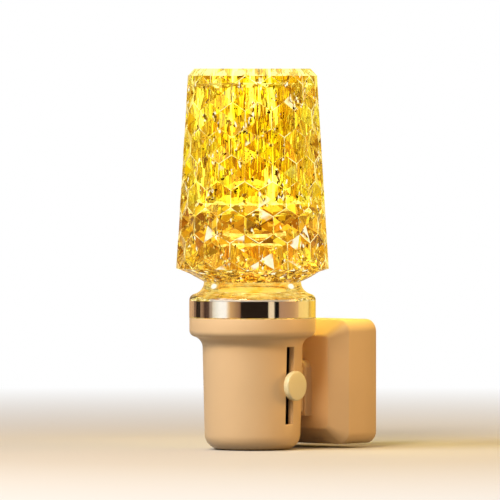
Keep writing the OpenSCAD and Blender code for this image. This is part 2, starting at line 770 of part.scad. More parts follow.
module plug_housing() {
    boss_sink = 2.9;
    color([0.9, 0.78, 0.64]) difference() {
        union() {
            difference() {
                box_form(0, -eps);
                box_form(box_wall, 1);
            }
            wallwise(seam_y, box_front_y + 0.5) arch(boss_w, boss_foot_z, boss_top_z);
            at_corner_bosses() rod_y(screw_boss_r, box_front_y + boss_sink, cover_inner_y);
            at_posts() rod_y(screw_boss_r - 0.6, box_front_y + boss_sink, power_front_y);
        }
        at_corner_bosses() rod_y(screw_r + screw_play, cover_inner_y - cover_screw_l, 1);
        at_posts() rod_y(screw_r + screw_play, power_front_y - board_screw_l, 1);
        rod_y(wire_bore_r, seam_y - 1, inner_front_y + 1, 0, wire_bore_z);
        for (z = bracket_screw_z) rod_y(screw_r + screw_play, seam_y - 1, inner_front_y + 1, 0, z);
    }
}

module blade_slots(play, y0, y1) {
    for (side = [-1, 1])
        block([side * blade_pitch / 2 - blade_t / 2 - play, side * blade_pitch / 2 + blade_t / 2 + play],
            [y0, y1], [-blade_w / 2 - play, blade_w / 2 + play]);
}

module back_cover() {
    side = box_bore - 2 * shell_play;
    color([0.9, 0.78, 0.64]) difference() {
        union() {
            wallwise(cover_inner_y, 0)
                polygon(round_square(side, side, max(box_corner_r - box_wall * 0.6 - shell_play, 1)));
            for (s = [-1, 1])
                rod_y(screw_boss_r, retainer_front_y, cover_inner_y + eps, s * retainer_screw_x, 0);
        }
        blade_slots(screw_play, -9, 1);
        at_corner_bosses() rod_y(screw_r + screw_play, cover_inner_y - 1, 1);
        at_corner_bosses() rod_y(screw_head_r + shell_play, -screw_head_h - 0.1, 1);
        for (s = [-1, 1])
            rod_y(screw_r + screw_play, retainer_front_y - 1, -0.8, s * retainer_screw_x, 0);
    }
}

module cover_screws() {
    color([0.75, 0.76, 0.78]) at_corner_bosses()
        wall_screw(0, -screw_head_h - 0.1, 0, cover_screw_l, -1);
}

module bracket_screws() {
    color([0.75, 0.76, 0.78])
        for (z = bracket_screw_z) wall_screw(0, inner_front_y, z, bracket_screw_l, -1);
}

module blade(side) {
    tip = 1.2;
    narrow = 0.9;
    x = side * blade_pitch / 2;
    color([0.86, 0.74, 0.42]) difference() {
        translate([x - blade_t / 2, 0, 0]) rotate([90, 0, 90]) linear_extrude(blade_t) polygon([
            [blade_tail_y, -narrow], [blade_tail_y, narrow],
            [retainer_front_y, narrow], [retainer_front_y, shoulder_w / 2],
            [retainer_front_y + shoulder_l, shoulder_w / 2], [retainer_front_y + shoulder_l, blade_w / 2],
            [blade_reach - tip, blade_w / 2], [blade_reach, blade_w / 2 - tip],
            [blade_reach, tip - blade_w / 2], [blade_reach - tip, -blade_w / 2],
            [retainer_front_y + shoulder_l, -blade_w / 2], [retainer_front_y + shoulder_l, -shoulder_w / 2],
            [retainer_front_y, -shoulder_w / 2], [retainer_front_y, -narrow]]);
        rod_x(blade_hole_d / 2, x - blade_t, x + blade_t, blade_hole_y, 0);
    }
}

module blade_left() {
    blade(-1);
}

module blade_right() {
    blade(1);
}

module blade_retainer() {
    color([0.16, 0.16, 0.17]) difference() {
        wallwise(retainer_front_y - retainer_t, retainer_front_y)
            polygon(round_square(retainer_size[0], retainer_size[1], 1.5, 4));
        for (side = [-1, 1])
            block([side * blade_pitch / 2 - blade_t / 2 - 0.1, side * blade_pitch / 2 + blade_t / 2 + 0.1],
                [-12, 0], [-1.1, 1.1]);
        for (s = [-1, 1])
            rod_y(screw_r + screw_play, -12, 0, s * retainer_screw_x, 0);
    }
}

module retainer_screws() {
    color([0.75, 0.76, 0.78])
        for (s = [-1, 1])
            wall_screw(s * retainer_screw_x, retainer_front_y - retainer_t, 0, 4.8, 1);
}

// ---- power board ----

module power_board() {
    color([0.08, 0.3, 0.16]) difference() {
        wallwise(power_front_y, power_back_y) square([power_w, power_h], center = true);
        for (side = [-1, 1])
            block([side * blade_pitch / 2 - blade_t / 2 - 0.1, side * blade_pitch / 2 + blade_t / 2 + 0.1],
                [-12, 0], [-1.1, 1.1]);
        at_posts() rod_y(screw_r + screw_play, -12, 0);
    }
}

module board_screws() {
    color([0.75, 0.76, 0.78]) at_posts() wall_screw(0, power_back_y, 0, board_screw_l, -1);
}

module transformer_core() {
    y0 = inner_front_y + 0.8;
    color([0.2, 0.2, 0.21]) difference() {
        block(spread([-12.9, -2.3], across), [y0, power_front_y], spread([2.4, 13.4], upward));
        block(spread([-13.9, -1.3], across), [y0 + 1.6, power_front_y - 1.2], spread([4.2, 11.6], upward));
    }
}

module transformer_winding() {
    y0 = inner_front_y + 0.8;
    color([0.95, 0.8, 0.25])
        block(spread([-12.2, -3], across), [y0 + 1.65, power_front_y - 1.25], spread([4.25, 11.55], upward));
}

module input_capacitor() {
    r = 3.9;
    color([0.14, 0.16, 0.3])
        translate([8.4 * across, power_front_y - r, 14.2 * upward]) rotate([180, 0, 0]) can(r, 12 * upward);
}

module output_capacitor() {
    r = 3.1 * across;
    color([0.12, 0.14, 0.2])
        translate([-8.4 * across, power_front_y - r, -14.2 * upward]) can(r, 8.5 * upward);
}

module bridge_rectifier() {
    color([0.12, 0.12, 0.13]) {
        block(spread([2, 7], across), [power_front_y - 2, power_front_y - 0.2], spread([-17, -12.5], upward));
        for (x = [2.6, 5.6], z = [-17.8, -12.6])
            block(spread([x, x + 0.8], across), [power_front_y - 0.9, power_front_y],
                spread([z, z + 1], upward));
    }
}

module fuse_resistor() {
    r = 1.5;
    h = 8;
    lead_r = 0.25;
    lead_l = 1.1;
    color([0.35, 0.6, 0.75]) translate([10.6 * across, power_front_y - r, -8 * upward]) {
        cylinder(r = r, h = h, center = true);
        cylinder(r = lead_r, h = h + 2 * lead_l, center = true);
        for (end = [-1, 1]) rod_y(lead_r + 0.1, 0, r, 0, end * (h / 2 + lead_l));
    }
}

module driver_chip() {
    body_y = power_front_y - 0.15;
    color([0.12, 0.12, 0.13]) {
        block(spread([-2.5, 2.5], across), [body_y - 1.5, body_y], spread([-9.6, -5.6], upward));
        for (x = [-2.1:1.27:1.8], z = [-10.7, -5.7])
            block(spread([x, x + 0.4], across), [power_front_y - 0.7, power_front_y],
                spread([z, z + 1.2], upward));
    }
}

module choke() {
    h = 6;
    r = 2.4 * across;
    color([0.2, 0.2, 0.21])
        translate([-1.2 * across, power_front_y, -13.9 * upward]) rotate([90, 0, 0]) rotate_extrude()
            polygon([[0, 0], [r, 0], [r, 1], [r - 0.9, 1.4], [r - 0.9, h - 1.4], [r, h - 1], [r, h], [0, h]]);
}

module supply_wires() {
    y_in = cup_bore_top_r - axis_reach;
    color([0.75, 0.15, 0.1])
        for (side = [-1, 1])
            wire(eased([
                [side * 0.9, power_front_y, wire_bore_z],
                [side * 0.9, inner_front_y, wire_bore_z],
                [side * 0.9, seam_y, wire_bore_z],
                [side * 0.9, y_in, wire_bore_z],
                [side * 0.9 - 0.4, y_in - 5, wire_bore_z - 1],
                [control_back_x - 2.6, y_in - 9, wire_bore_z - 3 + side * 1.2],
                [control_back_x - 2, y_in - 11, wire_bore_z - 3 + side * 1.2],
                [control_back_x, y_in - 11, wire_bore_z - 3 + side * 1.2]]), supply_wire_r);
}

crystal_shade();
chrome_ring();
diffuser();
lamp_board();
lamp_chips();
lamp_carrier();
carrier_screws();
cup_housing();
dimmer_knob();
slider_lever();
wiper_contacts();
slider_case();
slider_track();
slider_pins();
control_board();
control_chip();
control_capacitor();
control_parts();
lamp_wires();
plug_housing();
back_cover();
cover_screws();
bracket_screws();
blade_left();
blade_right();
blade_retainer();
retainer_screws();
power_board();
board_screws();
transformer_core();
transformer_winding();
input_capacitor();
output_capacitor();
bridge_rectifier();
fuse_resistor();
driver_chip();
choke();
supply_wires();
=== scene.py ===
import bpy
import bmesh
import json
import math
import random
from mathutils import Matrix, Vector


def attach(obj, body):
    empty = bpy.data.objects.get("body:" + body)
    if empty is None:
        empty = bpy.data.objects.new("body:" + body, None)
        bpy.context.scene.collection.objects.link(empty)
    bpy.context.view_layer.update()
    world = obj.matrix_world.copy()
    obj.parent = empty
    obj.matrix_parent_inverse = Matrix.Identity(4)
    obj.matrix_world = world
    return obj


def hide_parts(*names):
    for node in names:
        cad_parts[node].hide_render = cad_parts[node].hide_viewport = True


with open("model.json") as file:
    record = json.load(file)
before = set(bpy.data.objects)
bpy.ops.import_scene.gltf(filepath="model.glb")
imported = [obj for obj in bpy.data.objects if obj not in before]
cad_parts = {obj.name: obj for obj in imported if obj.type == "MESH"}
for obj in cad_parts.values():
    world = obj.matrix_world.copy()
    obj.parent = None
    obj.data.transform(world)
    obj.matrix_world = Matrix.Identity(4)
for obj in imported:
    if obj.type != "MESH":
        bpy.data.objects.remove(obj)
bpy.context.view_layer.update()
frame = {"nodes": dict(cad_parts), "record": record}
nodes = frame["nodes"]
mm = 0.001
axisReach = 41.7  # the lamp's axis from the wall, in millimetres
lampAxis = (0, -axisReach, 0)
rimHeight = 22.75  # the cup's rim over the middle of the plug box
print("frame loaded with", len(nodes), "nodes")


class Wire:  # a socket, on which arithmetic adds Math nodes
    def __init__(self, finish, socket):
        self.finish = finish
        self.socket = socket

    def maths(self, operation, *values):
        return self.finish.maths(operation, *values)

    def __add__(self, other):
        return self.maths("ADD", self, other)

    def __radd__(self, other):
        return self.maths("ADD", other, self)

    def __sub__(self, other):
        return self.maths("SUBTRACT", self, other)

    def __rsub__(self, other):
        return self.maths("SUBTRACT", other, self)

    def __mul__(self, other):
        return self.maths("MULTIPLY", self, other)

    def __rmul__(self, other):
        return self.maths("MULTIPLY", other, self)

    def __truediv__(self, other):
        return self.maths("DIVIDE", self, other)

    def __pow__(self, other):
        return self.maths("POWER", self, other)

    def clipped(self, low=0, high=1):
        return self.maths("MINIMUM", self.maths("MAXIMUM", self, low), high)

    def stepped(self, slope, start, high=1):  # from 0 up to high, with a harder edge for a steeper slope
        return (self * slope - start).clipped(0, high)

    def over(self, level, slope):  # 1 where the value is over a level
        return ((self - level) * slope).clipped()

    def near(self, level, slope):  # 1 at a level, and fading to 0 on both sides of it
        return (1 - self.maths("ABSOLUTE", self - level) * slope).clipped()

    def waved(self):  # its cosine, between 0 and 1
        return self.maths("COSINE", self) * 0.5 + 0.5

    def output(self, key):  # another output of the same node
        return Wire(self.finish, self.socket.node.outputs[key])


class Finish:  # one material or world; add() makes any node
    def __init__(self, name, holder=None):
        self.holder = holder or bpy.data.materials.new(name)
        self.holder.use_nodes = True
        self.tree = self.holder.node_tree
        self.tree.nodes.clear()

    def add(self, kind, settings=None, inputs=None, out=0):
        node = self.tree.nodes.new(kind)
        for key, value in (settings or {}).items():
            if key == "stops":
                ramp = node.color_ramp.elements
                while len(ramp) < len(value):
                    ramp.new(0.5)
                for stop, (place, colour) in zip(ramp, value):
                    stop.position = place
                    stop.color = (*colour, 1)
            else:
                setattr(node, key, value)
        for key, value in (inputs or {}).items():
            if isinstance(value, Wire):
                self.tree.links.new(value.socket, node.inputs[key])
            elif node.inputs[key].type == "RGBA":
                node.inputs[key].default_value = (*value, 1)
            else:
                node.inputs[key].default_value = value
        return Wire(self, node.outputs[out]) if node.outputs else None

    def place(self):  # position on the piece itself, in metres
        return self.add("ShaderNodeTexCoord", out=3)

    def stretched(self, share):  # the same with its height scaled, for streaks
        return self.add("ShaderNodeVectorMath", {"operation": "MULTIPLY"}, {
            0: self.place(), 1: (1.0, 1.0, share)})

    def height(self):
        return self.add("ShaderNodeSeparateXYZ", {}, {0: self.place()}, out=2)

    def acrossAxis(self):  # the two distances from the lamp's axis
        east = self.add("ShaderNodeSeparateXYZ", {}, {0: self.place()})
        return east, east.output(1) + axisReach * mm

    def maths(self, operation, *values):
        return self.add("ShaderNodeMath", {"operation": operation}, dict(enumerate(values)))

    def noise(self, scale, detail=2.0, roughness=0.5, vector=None):
        return self.add("ShaderNodeTexNoise", {}, {
            "Vector": vector or self.place(), "Scale": scale, "Detail": detail, "Roughness": roughness})

    def mixed(self, factor, first, second):
        return self.add("ShaderNodeMix", {"data_type": "RGBA"}, {0: factor, 6: first, 7: second}, out=2)

    def ramp(self, value, stops):
        return self.add("ShaderNodeValToRGB", {"stops": stops}, {"Fac": value})

    def bump(self, height, strength, distance):
        return self.add("ShaderNodeBump", {}, {"Height": height, "Strength": strength, "Distance": distance})

    def surface(self, **inputs):
        return self.add("ShaderNodeBsdfPrincipled", {}, inputs)

    def mixedShader(self, factor, first, second):
        return self.add("ShaderNodeMixShader", {}, {0: factor, 1: first, 2: second})

    def close(self, shader):
        self.add("ShaderNodeOutputMaterial", {}, {"Surface": shader})
        return self.holder


def shaded(colour, share):
    return tuple(min(1, c * share) for c in colour)


# in the looks, a noise is its scale, detail and roughness, a step its slope and start,
# a cover, ring or row its level and slope, and a bump its strength and depth
plasticLook = {
    "cloud": (60, 3), "darker": 0.93, "lighter": 1.04, "roughnessSpread": 0.1, "ior": 1.5,
    "grain": (5200, 2, 0.6), "bump": (0.35, 0.00002),
}
plastics = {
    "white_plastic": {"colour": (0.78, 0.75, 0.68), "roughness": 0.4},
    "cream_plastic": {"colour": (0.89, 0.645, 0.385), "roughness": 0.42},
    "knob_plastic": {"colour": (1.0, 0.89, 0.56), "roughness": 0.36, "shine": 0.9},
    "black_plastic": {"colour": (0.02, 0.02, 0.022), "roughness": 0.45},
    "red_wire": {"colour": (0.55, 0.02, 0.015), "roughness": 0.35},
}


def plasticFinish(name, colour, roughness, shine=0.45):
    look = plasticLook
    spread = look["roughnessSpread"]
    f = Finish(name)
    cloud = f.noise(*look["cloud"])
    return f.close(f.surface(**{
        "Base Color": f.mixed(cloud, shaded(colour, look["darker"]), shaded(colour, look["lighter"])),
        "Roughness": roughness - spread / 2 + spread * cloud, "IOR": look["ior"], "Specular IOR Level": shine,
        "Normal": f.bump(f.noise(*look["grain"]), *look["bump"])}))


metalLook = {"detail": (4, 0.65), "darker": 0.86}
metals = {
    "chrome": {"colour": (0.93, 0.92, 0.91), "roughness": 0.02, "streak": 0.02, "scale": 300},
    "screw_steel": {"colour": (0.62, 0.62, 0.63), "roughness": 0.28, "streak": 0.15},
    "contact_brass": {"colour": (0.78, 0.57, 0.25), "roughness": 0.25, "streak": 0.1},
    "tinned_metal": {"colour": (0.72, 0.72, 0.74), "roughness": 0.3, "streak": 0.2},
    "blade_brass": {"colour": (0.78, 0.6, 0.3), "roughness": 0.22, "streak": 0.15, "scale": 500},
}


def metalFinish(name, colour, roughness, streak, scale=900):
    f = Finish(name)
    mark = f.noise(scale, *metalLook["detail"])
    return f.close(f.surface(**{
        "Base Color": f.mixed(mark, shaded(colour, metalLook["darker"]), colour), "Metallic": 1.0,
        "Roughness": roughness + streak * mark}))


coatedLook = {"detail": (3, 0.6), "patch": (2.4, 0.7), "roughnessSpread": 0.12, "bump": (0.25, 0.00005)}
coatedParts = {
    "white_board": {"colour": (0.8, 0.78, 0.72), "spot": (0.7, 0.68, 0.6), "roughness": 0.4},
    "black_metal": {"colour": (0.03, 0.03, 0.032), "spot": (0.05, 0.05, 0.05), "roughness": 0.35},
    "phenolic": {"colour": (0.17, 0.07, 0.03), "spot": (0.24, 0.11, 0.05), "roughness": 0.5},
    "green_board": {"colour": (0.01, 0.09, 0.03), "spot": (0.015, 0.13, 0.05), "roughness": 0.3,
                    "scale": 400, "coat": 0.5},
    "capacitor_sleeve": {"colour": (0.01, 0.015, 0.06), "spot": (0.02, 0.03, 0.09), "roughness": 0.3},
    "ceramic_parts": {"colour": (0.5, 0.42, 0.3), "spot": (0.3, 0.25, 0.18), "roughness": 0.4},
    "ferrite": {"colour": (0.03, 0.03, 0.033), "spot": (0.06, 0.06, 0.06), "roughness": 0.6},
    "yellow_tape": {"colour": (0.8, 0.55, 0.05), "spot": (0.7, 0.45, 0.04), "roughness": 0.25},
    "blue_enamel": {"colour": (0.05, 0.2, 0.35), "spot": (0.08, 0.26, 0.42), "roughness": 0.3},
}


def coatedFinish(name, colour, spot, roughness, scale=700, coat=0.0):
    look = coatedLook
    f = Finish(name)
    patch = f.noise(scale, *look["detail"])
    return f.close(f.surface(**{
        "Base Color": f.mixed(patch.stepped(*look["patch"]), colour, spot),
        "Roughness": roughness + look["roughnessSpread"] * patch, "Coat Weight": coat,
        "Normal": f.bump(patch, *look["bump"])}))


glowLook = {
    "cloud": (160, 2), "darker": 0.92, "roughness": 0.45, "roughnessSpread": 0.1, "cloudShare": 0.3,
    "chipPower": 3, "chipRing": (0.0095, 260),
}
glows = {
    "opal": {"colour": (0.9, 0.82, 0.62), "dim": (0.85, 0.55, 0.09), "bright": (1.0, 0.86, 0.4),
             "strength": 0.85, "chips": 12},
    "lamp_phosphor": {"colour": (0.9, 0.7, 0.2), "dim": (1.0, 0.6, 0.15), "bright": (1.0, 0.7, 0.2),
                      "strength": 8.0},
}


def glowFinish(name, colour, dim, bright, strength, chips=0):
    look = glowLook
    f = Finish(name)
    cloud = f.noise(*look["cloud"])
    hot = cloud
    if chips:  # brighter over each lamp chip
        east, north = f.acrossAxis()
        overChip = (f.maths("ARCTAN2", north, east) * chips).waved() ** look["chipPower"]
        reach = f.maths("SQRT", east * east + north * north)
        hot = (overChip * reach.near(*look["chipRing"]) + cloud * look["cloudShare"]).clipped()
    return f.close(f.surface(**{
        "Base Color": f.mixed(cloud, shaded(colour, look["darker"]), colour),
        "Roughness": look["roughness"] + look["roughnessSpread"] * cloud,
        "Emission Color": f.mixed(hot, dim, bright), "Emission Strength": strength}))


# the crystal's tints and its orange reflection colour are painted warm lamp light, and its lit part is a
# painted glow
crystalLook = {
    "ior": 1.49, "reflection": (1.0, 0.6, 0.06), "litBase": (0.1, 0.06, 0.006), "litRoughness": 0.3,
    "detail": (3, 0.65), "tintStep": (6, 2.5), "glowShade": 0.75,
}
crystals = {
    "crystal": {"warmLightTints": ((1.0, 0.8, 0.14), (1.0, 0.88, 0.2)), "glow": (1.0, 0.93, 0.5), "share": (0.0, 0.3)},
}
# painted shard reflections
shardLook = {
    "stretch": 0.5, "shown": 0.35, "cluster": (300, 2, 0.6), "clusterSlope": 20,
    "glow": ((0.0, (0.03, 0.006, 0.0)), (0.36, (0.2, 0.06, 0.004)), (0.48, (0.85, 0.5, 0.02)),
             (0.74, (1.0, 0.85, 0.12)), (0.84, (1.0, 1.0, 0.7))),
}
glintLook = {
    "spacing": 103, "turn": 0.024, "power": 60, "row": (0.0339, 900), "strength": 3, "glow": (1.0, 1.0, 0.85),
}
facetLook = {
    "change": (0.056, 0.064),  # the heights between which the painted glow and tint turn from orange to yellow
    # painted warm-light tints, lit and shaded copies, yellow above and orange below
    "upper": (1.0, 1.0, 0.06), "upperShaded": (1.0, 0.72, 0.03),
    "lower": (1.0, 0.7, 0.05), "lowerShaded": (0.92, 0.44, 0.03), "litShare": 1.8,
    # painted glow by tone, from dark orange up to a painted near-white highlight
    "upperGlow": ((0.0, (0.22, 0.06, 0.002)), (0.15, (0.5, 0.2, 0.003)), (0.42, (0.78, 0.45, 0.004)),
                  (0.7, (0.9, 0.68, 0.008)), (0.92, (0.95, 0.82, 0.05)), (0.98, (1.0, 0.96, 0.5))),
    "lowerGlow": ((0.0, (0.13, 0.04, 0.005)), (0.2, (0.4, 0.15, 0.012)), (0.5, (0.7, 0.32, 0.02)),
                  (0.75, (0.85, 0.47, 0.03)), (0.92, (0.95, 0.7, 0.12)), (0.98, (1.0, 1.0, 0.75))),
    "cloud": (320, 3, 0.65), "cloudSpread": 0.8, "paintedGlowShare": 0.27,
    # painted glow along the shade's outline
    "silhouetteGlowStep": (5, 3.5), "silhouetteGlowCloud": (4, 1.0), "silhouetteGlow": (1.0, 0.93, 0.35),
    "highlightTone": 0.96, "highlightPart": (220, 1), "highlightStep": (7, 3.1, 0.9),
    "shardScale": 1500, "shardCover": 0.56,
    # painted dark reflections
    "darkReflection": (420, 3, 0.75), "darkReflectionCover": (0.637, 60), "darkReflectionTone": (0.06, 0.018, 0.001),
    "darkReflectionRoughness": 0.3,
}


def clearCrystal(f, warmLightTint, reflection=crystalLook["reflection"]):
    return f.surface(**{
        "Base Color": warmLightTint, "Roughness": 0.0, "IOR": crystalLook["ior"], "Transmission Weight": 1.0,
        "Specular Tint": reflection})


def litCrystal(f, glow, strength=1.0):
    return f.surface(**{
        "Base Color": crystalLook["litBase"], "Roughness": crystalLook["litRoughness"],
        "Specular Tint": crystalLook["reflection"], "Emission Strength": strength, "Emission Color": glow})


def paintedReflections(f, scale, cover):  # painted reflections: small broken glowing cells, in clusters
    look = shardLook
    where = f.stretched(look["stretch"])
    cell = f.add("ShaderNodeTexVoronoi", {"distance": "MANHATTAN"}, {"Vector": where, "Scale": scale}, out=1)
    tone = f.add("ShaderNodeSeparateColor", {}, {0: cell})
    shown = f.maths("GREATER_THAN", tone.output(1), look["shown"])
    cluster = f.noise(*look["cluster"], where).over(cover, look["clusterSlope"])
    return cluster * shown, f.ramp(tone, look["glow"])


def glintRow(f):  # a painted row of glints round the neck, where the lamp chips show
    look = glintLook
    east, north = f.acrossAxis()
    turn = f.maths("ARCTAN2", north, east) - look["turn"]
    spot = (turn * (360 / look["spacing"])).waved() ** look["power"]
    return (spot * f.height().near(*look["row"]) * look["strength"]).clipped()


def facetFinish(name):  # each facet has a random tone, from which it gets a painted glow and a lighter or darker painted warm-light tint, yellow above and orange below
    look = facetLook
    f = Finish(name)
    cloud = f.noise(*look["cloud"])
    first, last = look["change"]
    climb = ((f.height() - first) / (last - first)).clipped()
    tone = f.add("ShaderNodeSeparateColor", {}, {
        0: f.add("ShaderNodeVertexColor", {"layer_name": "facetTone"})})
    shadedTint = f.mixed(climb, look["lowerShaded"], look["upperShaded"])
    litTint = f.mixed(climb, look["lower"], look["upper"])
    warmLightTint = f.mixed((tone * look["litShare"]).clipped(), shadedTint, litTint)
    glow = f.mixed(climb, f.ramp(tone, look["lowerGlow"]), f.ramp(tone, look["upperGlow"]))
    # painted highlight along the outline, where the surface turns away
    facing = f.add("ShaderNodeLayerWeight", out=1)
    edge = facing.stepped(*look["silhouetteGlowStep"]) * cloud.stepped(*look["silhouetteGlowCloud"])
    part = f.noise(*look["highlightPart"]).stepped(*look["highlightStep"])  # only part of a highlight facet gets the painted highlight
    pale = f.maths("GREATER_THAN", tone, look["highlightTone"])
    # painted glow: a share on every facet, more on part of each highlight facet
    paintedGlow = pale * part + (1 - pale) * look["paintedGlowShare"]
    mask = (f.maths("MAXIMUM", paintedGlow, edge) + (cloud - 0.5) * look["cloudSpread"]).clipped()
    shardReflections, shardReflectionTone = paintedReflections(f, look["shardScale"], look["shardCover"])
    shine = f.mixed(shardReflections, f.mixed(edge, glow, look["silhouetteGlow"]), shardReflectionTone)
    bright = f.mixedShader(f.maths("MAXIMUM", mask, shardReflections), clearCrystal(f, warmLightTint), litCrystal(f, shine))
    darkReflection = f.noise(*look["darkReflection"]).over(*look["darkReflectionCover"]) * climb  # painted dark reflections, in the yellow part only
    black = f.surface(**{
        "Base Color": look["darkReflectionTone"], "Roughness": look["darkReflectionRoughness"], "Specular IOR Level": 0.0})
    return f.close(f.mixedShader(darkReflection, bright, black))


# clear crystal with a painted warm-light tint and a painted glow in clouds, with painted glints and painted
# shard reflections where asked
def crystalFinish(name, warmLightTints, glow=None, share=(0, 1), edge=3.2, cover=0.3, scale=320, stretch=1.0,
                  strength=1.0, glints=False, shardReflections=None):
    look = crystalLook
    f = Finish(name)
    cloud = f.noise(scale, *look["detail"], f.stretched(stretch))
    warmLightTint = f.mixed(cloud.stepped(*look["tintStep"]), *warmLightTints)
    if not glow:
        return f.close(clearCrystal(f, warmLightTint, (1.0, 1.0, 1.0)))
    mask = ((cloud - 0.5) * edge + cover).clipped() * (share[1] - share[0]) + share[0]
    shine = f.mixed(cloud, shaded(glow, look["glowShade"]), glow)
    if glints:
        spots = glintRow(f)
        mask = f.maths("MAXIMUM", mask, spots)
        shine = f.mixed(spots, shine, glintLook["glow"])
    if shardReflections:
        shown, tone = paintedReflections(f, *shardReflections)
        mask = f.maths("MAXIMUM", mask, shown)
        shine = f.mixed(shown, shine, tone)
    return f.close(f.mixedShader(mask, clearCrystal(f, warmLightTint), litCrystal(f, shine, strength)))


finishes = {}
for make, family in ((plasticFinish, plastics), (metalFinish, metals), (coatedFinish, coatedParts),
                     (glowFinish, glows), (crystalFinish, crystals)):
    finishes.update({name: make(name, **look) for name, look in family.items()})
slotOf = {part["node"]: part["material_slot"] for part in frame["record"]["subparts"]}
for name, piece in nodes.items():
    piece.data.materials.clear()
    piece.data.materials.append(finishes[slotOf[name]])
print("finishes assigned")

sharpAngle = 0.55  # edges that fold more than this, in radians, stay sharp
backEdge = [(0.3, 0.0), (0.09, 0.09), (0.0, 0.3)]  # inset and height of a small softened edge
quarterTurn = math.pi / 2


def arcPoints(centre, radius, start, stop, steps=8):
    return [(centre[0] + radius * math.cos(math.radians(start + (stop - start) * i / steps)),
             centre[1] + radius * math.sin(math.radians(start + (stop - start) * i / steps)))
            for i in range(steps + 1)]


def ogee(inner, outer, height):  # the angle of an S curve and the sum of its two radii
    turn = 2 * math.degrees(math.atan((outer - inner) / height))
    return turn, height / math.sin(math.radians(turn))


def ringOf(mesh, radius, height, count, turn=0.0):
    return [mesh.verts.new((radius * math.cos(2 * math.pi * i / count + turn),
                            radius * math.sin(2 * math.pi * i / count + turn), height)) for i in range(count)]


def bridge(mesh, lower, upper, slot=0):
    made = []
    count = len(lower)
    for i in range(count):
        j = (i + 1) % count
        face = mesh.faces.new((lower[i], lower[j], upper[j], upper[i]))
        face.material_index = slot
        face.smooth = True
        made.append(face)
    return made


def turned(mesh, ring, profile):  # carries a ring along a profile of radius, height and slot
    for radius, height, slot in profile:
        upper = ringOf(mesh, radius, height, len(ring), -quarterTurn)
        bridge(mesh, ring, upper, slot)
        ring = upper
    return ring


def cap(mesh, ring, height, slot=0, up=True):
    middle = mesh.verts.new((0, 0, height))
    count = len(ring)
    for i in range(count):
        j = (i + 1) % count
        pair = (ring[i], ring[j]) if up else (ring[j], ring[i])
        face = mesh.faces.new((*pair, middle))
        face.material_index = slot
        face.smooth = True


def fan(mesh, coarse, fine, slot):  # flat faces from a ring to one with as many points or more
    ratio = len(fine) // len(coarse)
    for i in range(len(coarse)):
        j = (i + 1) % len(coarse)
        arc = [fine[(i * ratio + k) % len(fine)] for k in range(ratio + 1)]
        mesh.faces.new((coarse[i], coarse[j], *reversed(arc))).material_index = slot


def linked(name, data):  # a new object in the scene
    made = bpy.data.objects.new(name, data)
    bpy.context.scene.collection.objects.link(made)
    return made


def pieceFrom(mesh, name, looks, body, standsFor, place=(0, 0, 0)):
    data = bpy.data.meshes.new(name)
    for edge in mesh.edges:
        edge.smooth = len(edge.link_faces) == 2 and edge.calc_face_angle(0) < sharpAngle
    bmesh.ops.scale(mesh, vec=(mm, mm, mm), verts=mesh.verts)
    bmesh.ops.translate(mesh, vec=Vector(place) * mm, verts=mesh.verts)
    mesh.to_mesh(data)
    mesh.free()
    for look in looks:
        data.materials.append(look)
    made = linked(name, data)
    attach(made, body)
    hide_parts(*standsFor)
    return made


shade = {
    "seed": 7, "columns": 16, "rows": 7, "fineShare": 4,
    "dimple": 1.7, "dimpleSpread": (0.85, 1.0), "scatter": 0.2, "flatAngle": 0.02,
    "topRadius": 22.6, "footRadius": 26.7, "footHeight": 40.0, "topHeight": 107.0, "chamfer": (2.3, 2.5),
    "neckRadius": 16.9, "neckHollow": 4.4, "neckHeight": 35.3,
    "neckSteps": 6, "pocketSteps": 5,  # steps of their curves before the finish changes
    "skirtRadius": 22.05, "skirtTop": 28.8, "skirtEdge": 0.05, "boreRadius": 20.0, "boreEdge": 0.2,
    "mouthRadius": 18.3, "mouthDepth": 4.7, "mouthEdge": 0.25,
    "wellTop": 17.0, "wellFloor": 15.6, "wellFloorHeight": 61.0, "wellBend": 1.5, "wellMiddle": 0.5,
    "step": ((0.4, 0.6), (-0.1, 1.6)),  # out from the well's top radius, and down from the mouth
    "pocketFoot": 29.5, "pocketRadius": 12.5, "pocketTopRadius": 9.5, "pocketTop": 50.0, "pocketBend": 3,
    "undersideRings": (0.3, 0.62), "undersideDepth": 0.9,
    "ridgeWidth": 0.14, "rimWidth": 0.22, "ridgeProfile": 0.6,
    "highlightFacets": ((18, 41.6), (35, 40.5), (54, 41.2), (46, 59.1), (72, 42.7), (88, 53.2), (75, 49.0),
                   (27, 49.0), (8, 52.0)),  # azimuth and height of the painted highlight facets
}
(facetSlot, ridgeSlot, rimSlot, wellSlot, undersideSlot, neckSlot, pocketSlot, skirtSlot, lineSlot,
 stepSlot) = range(10)
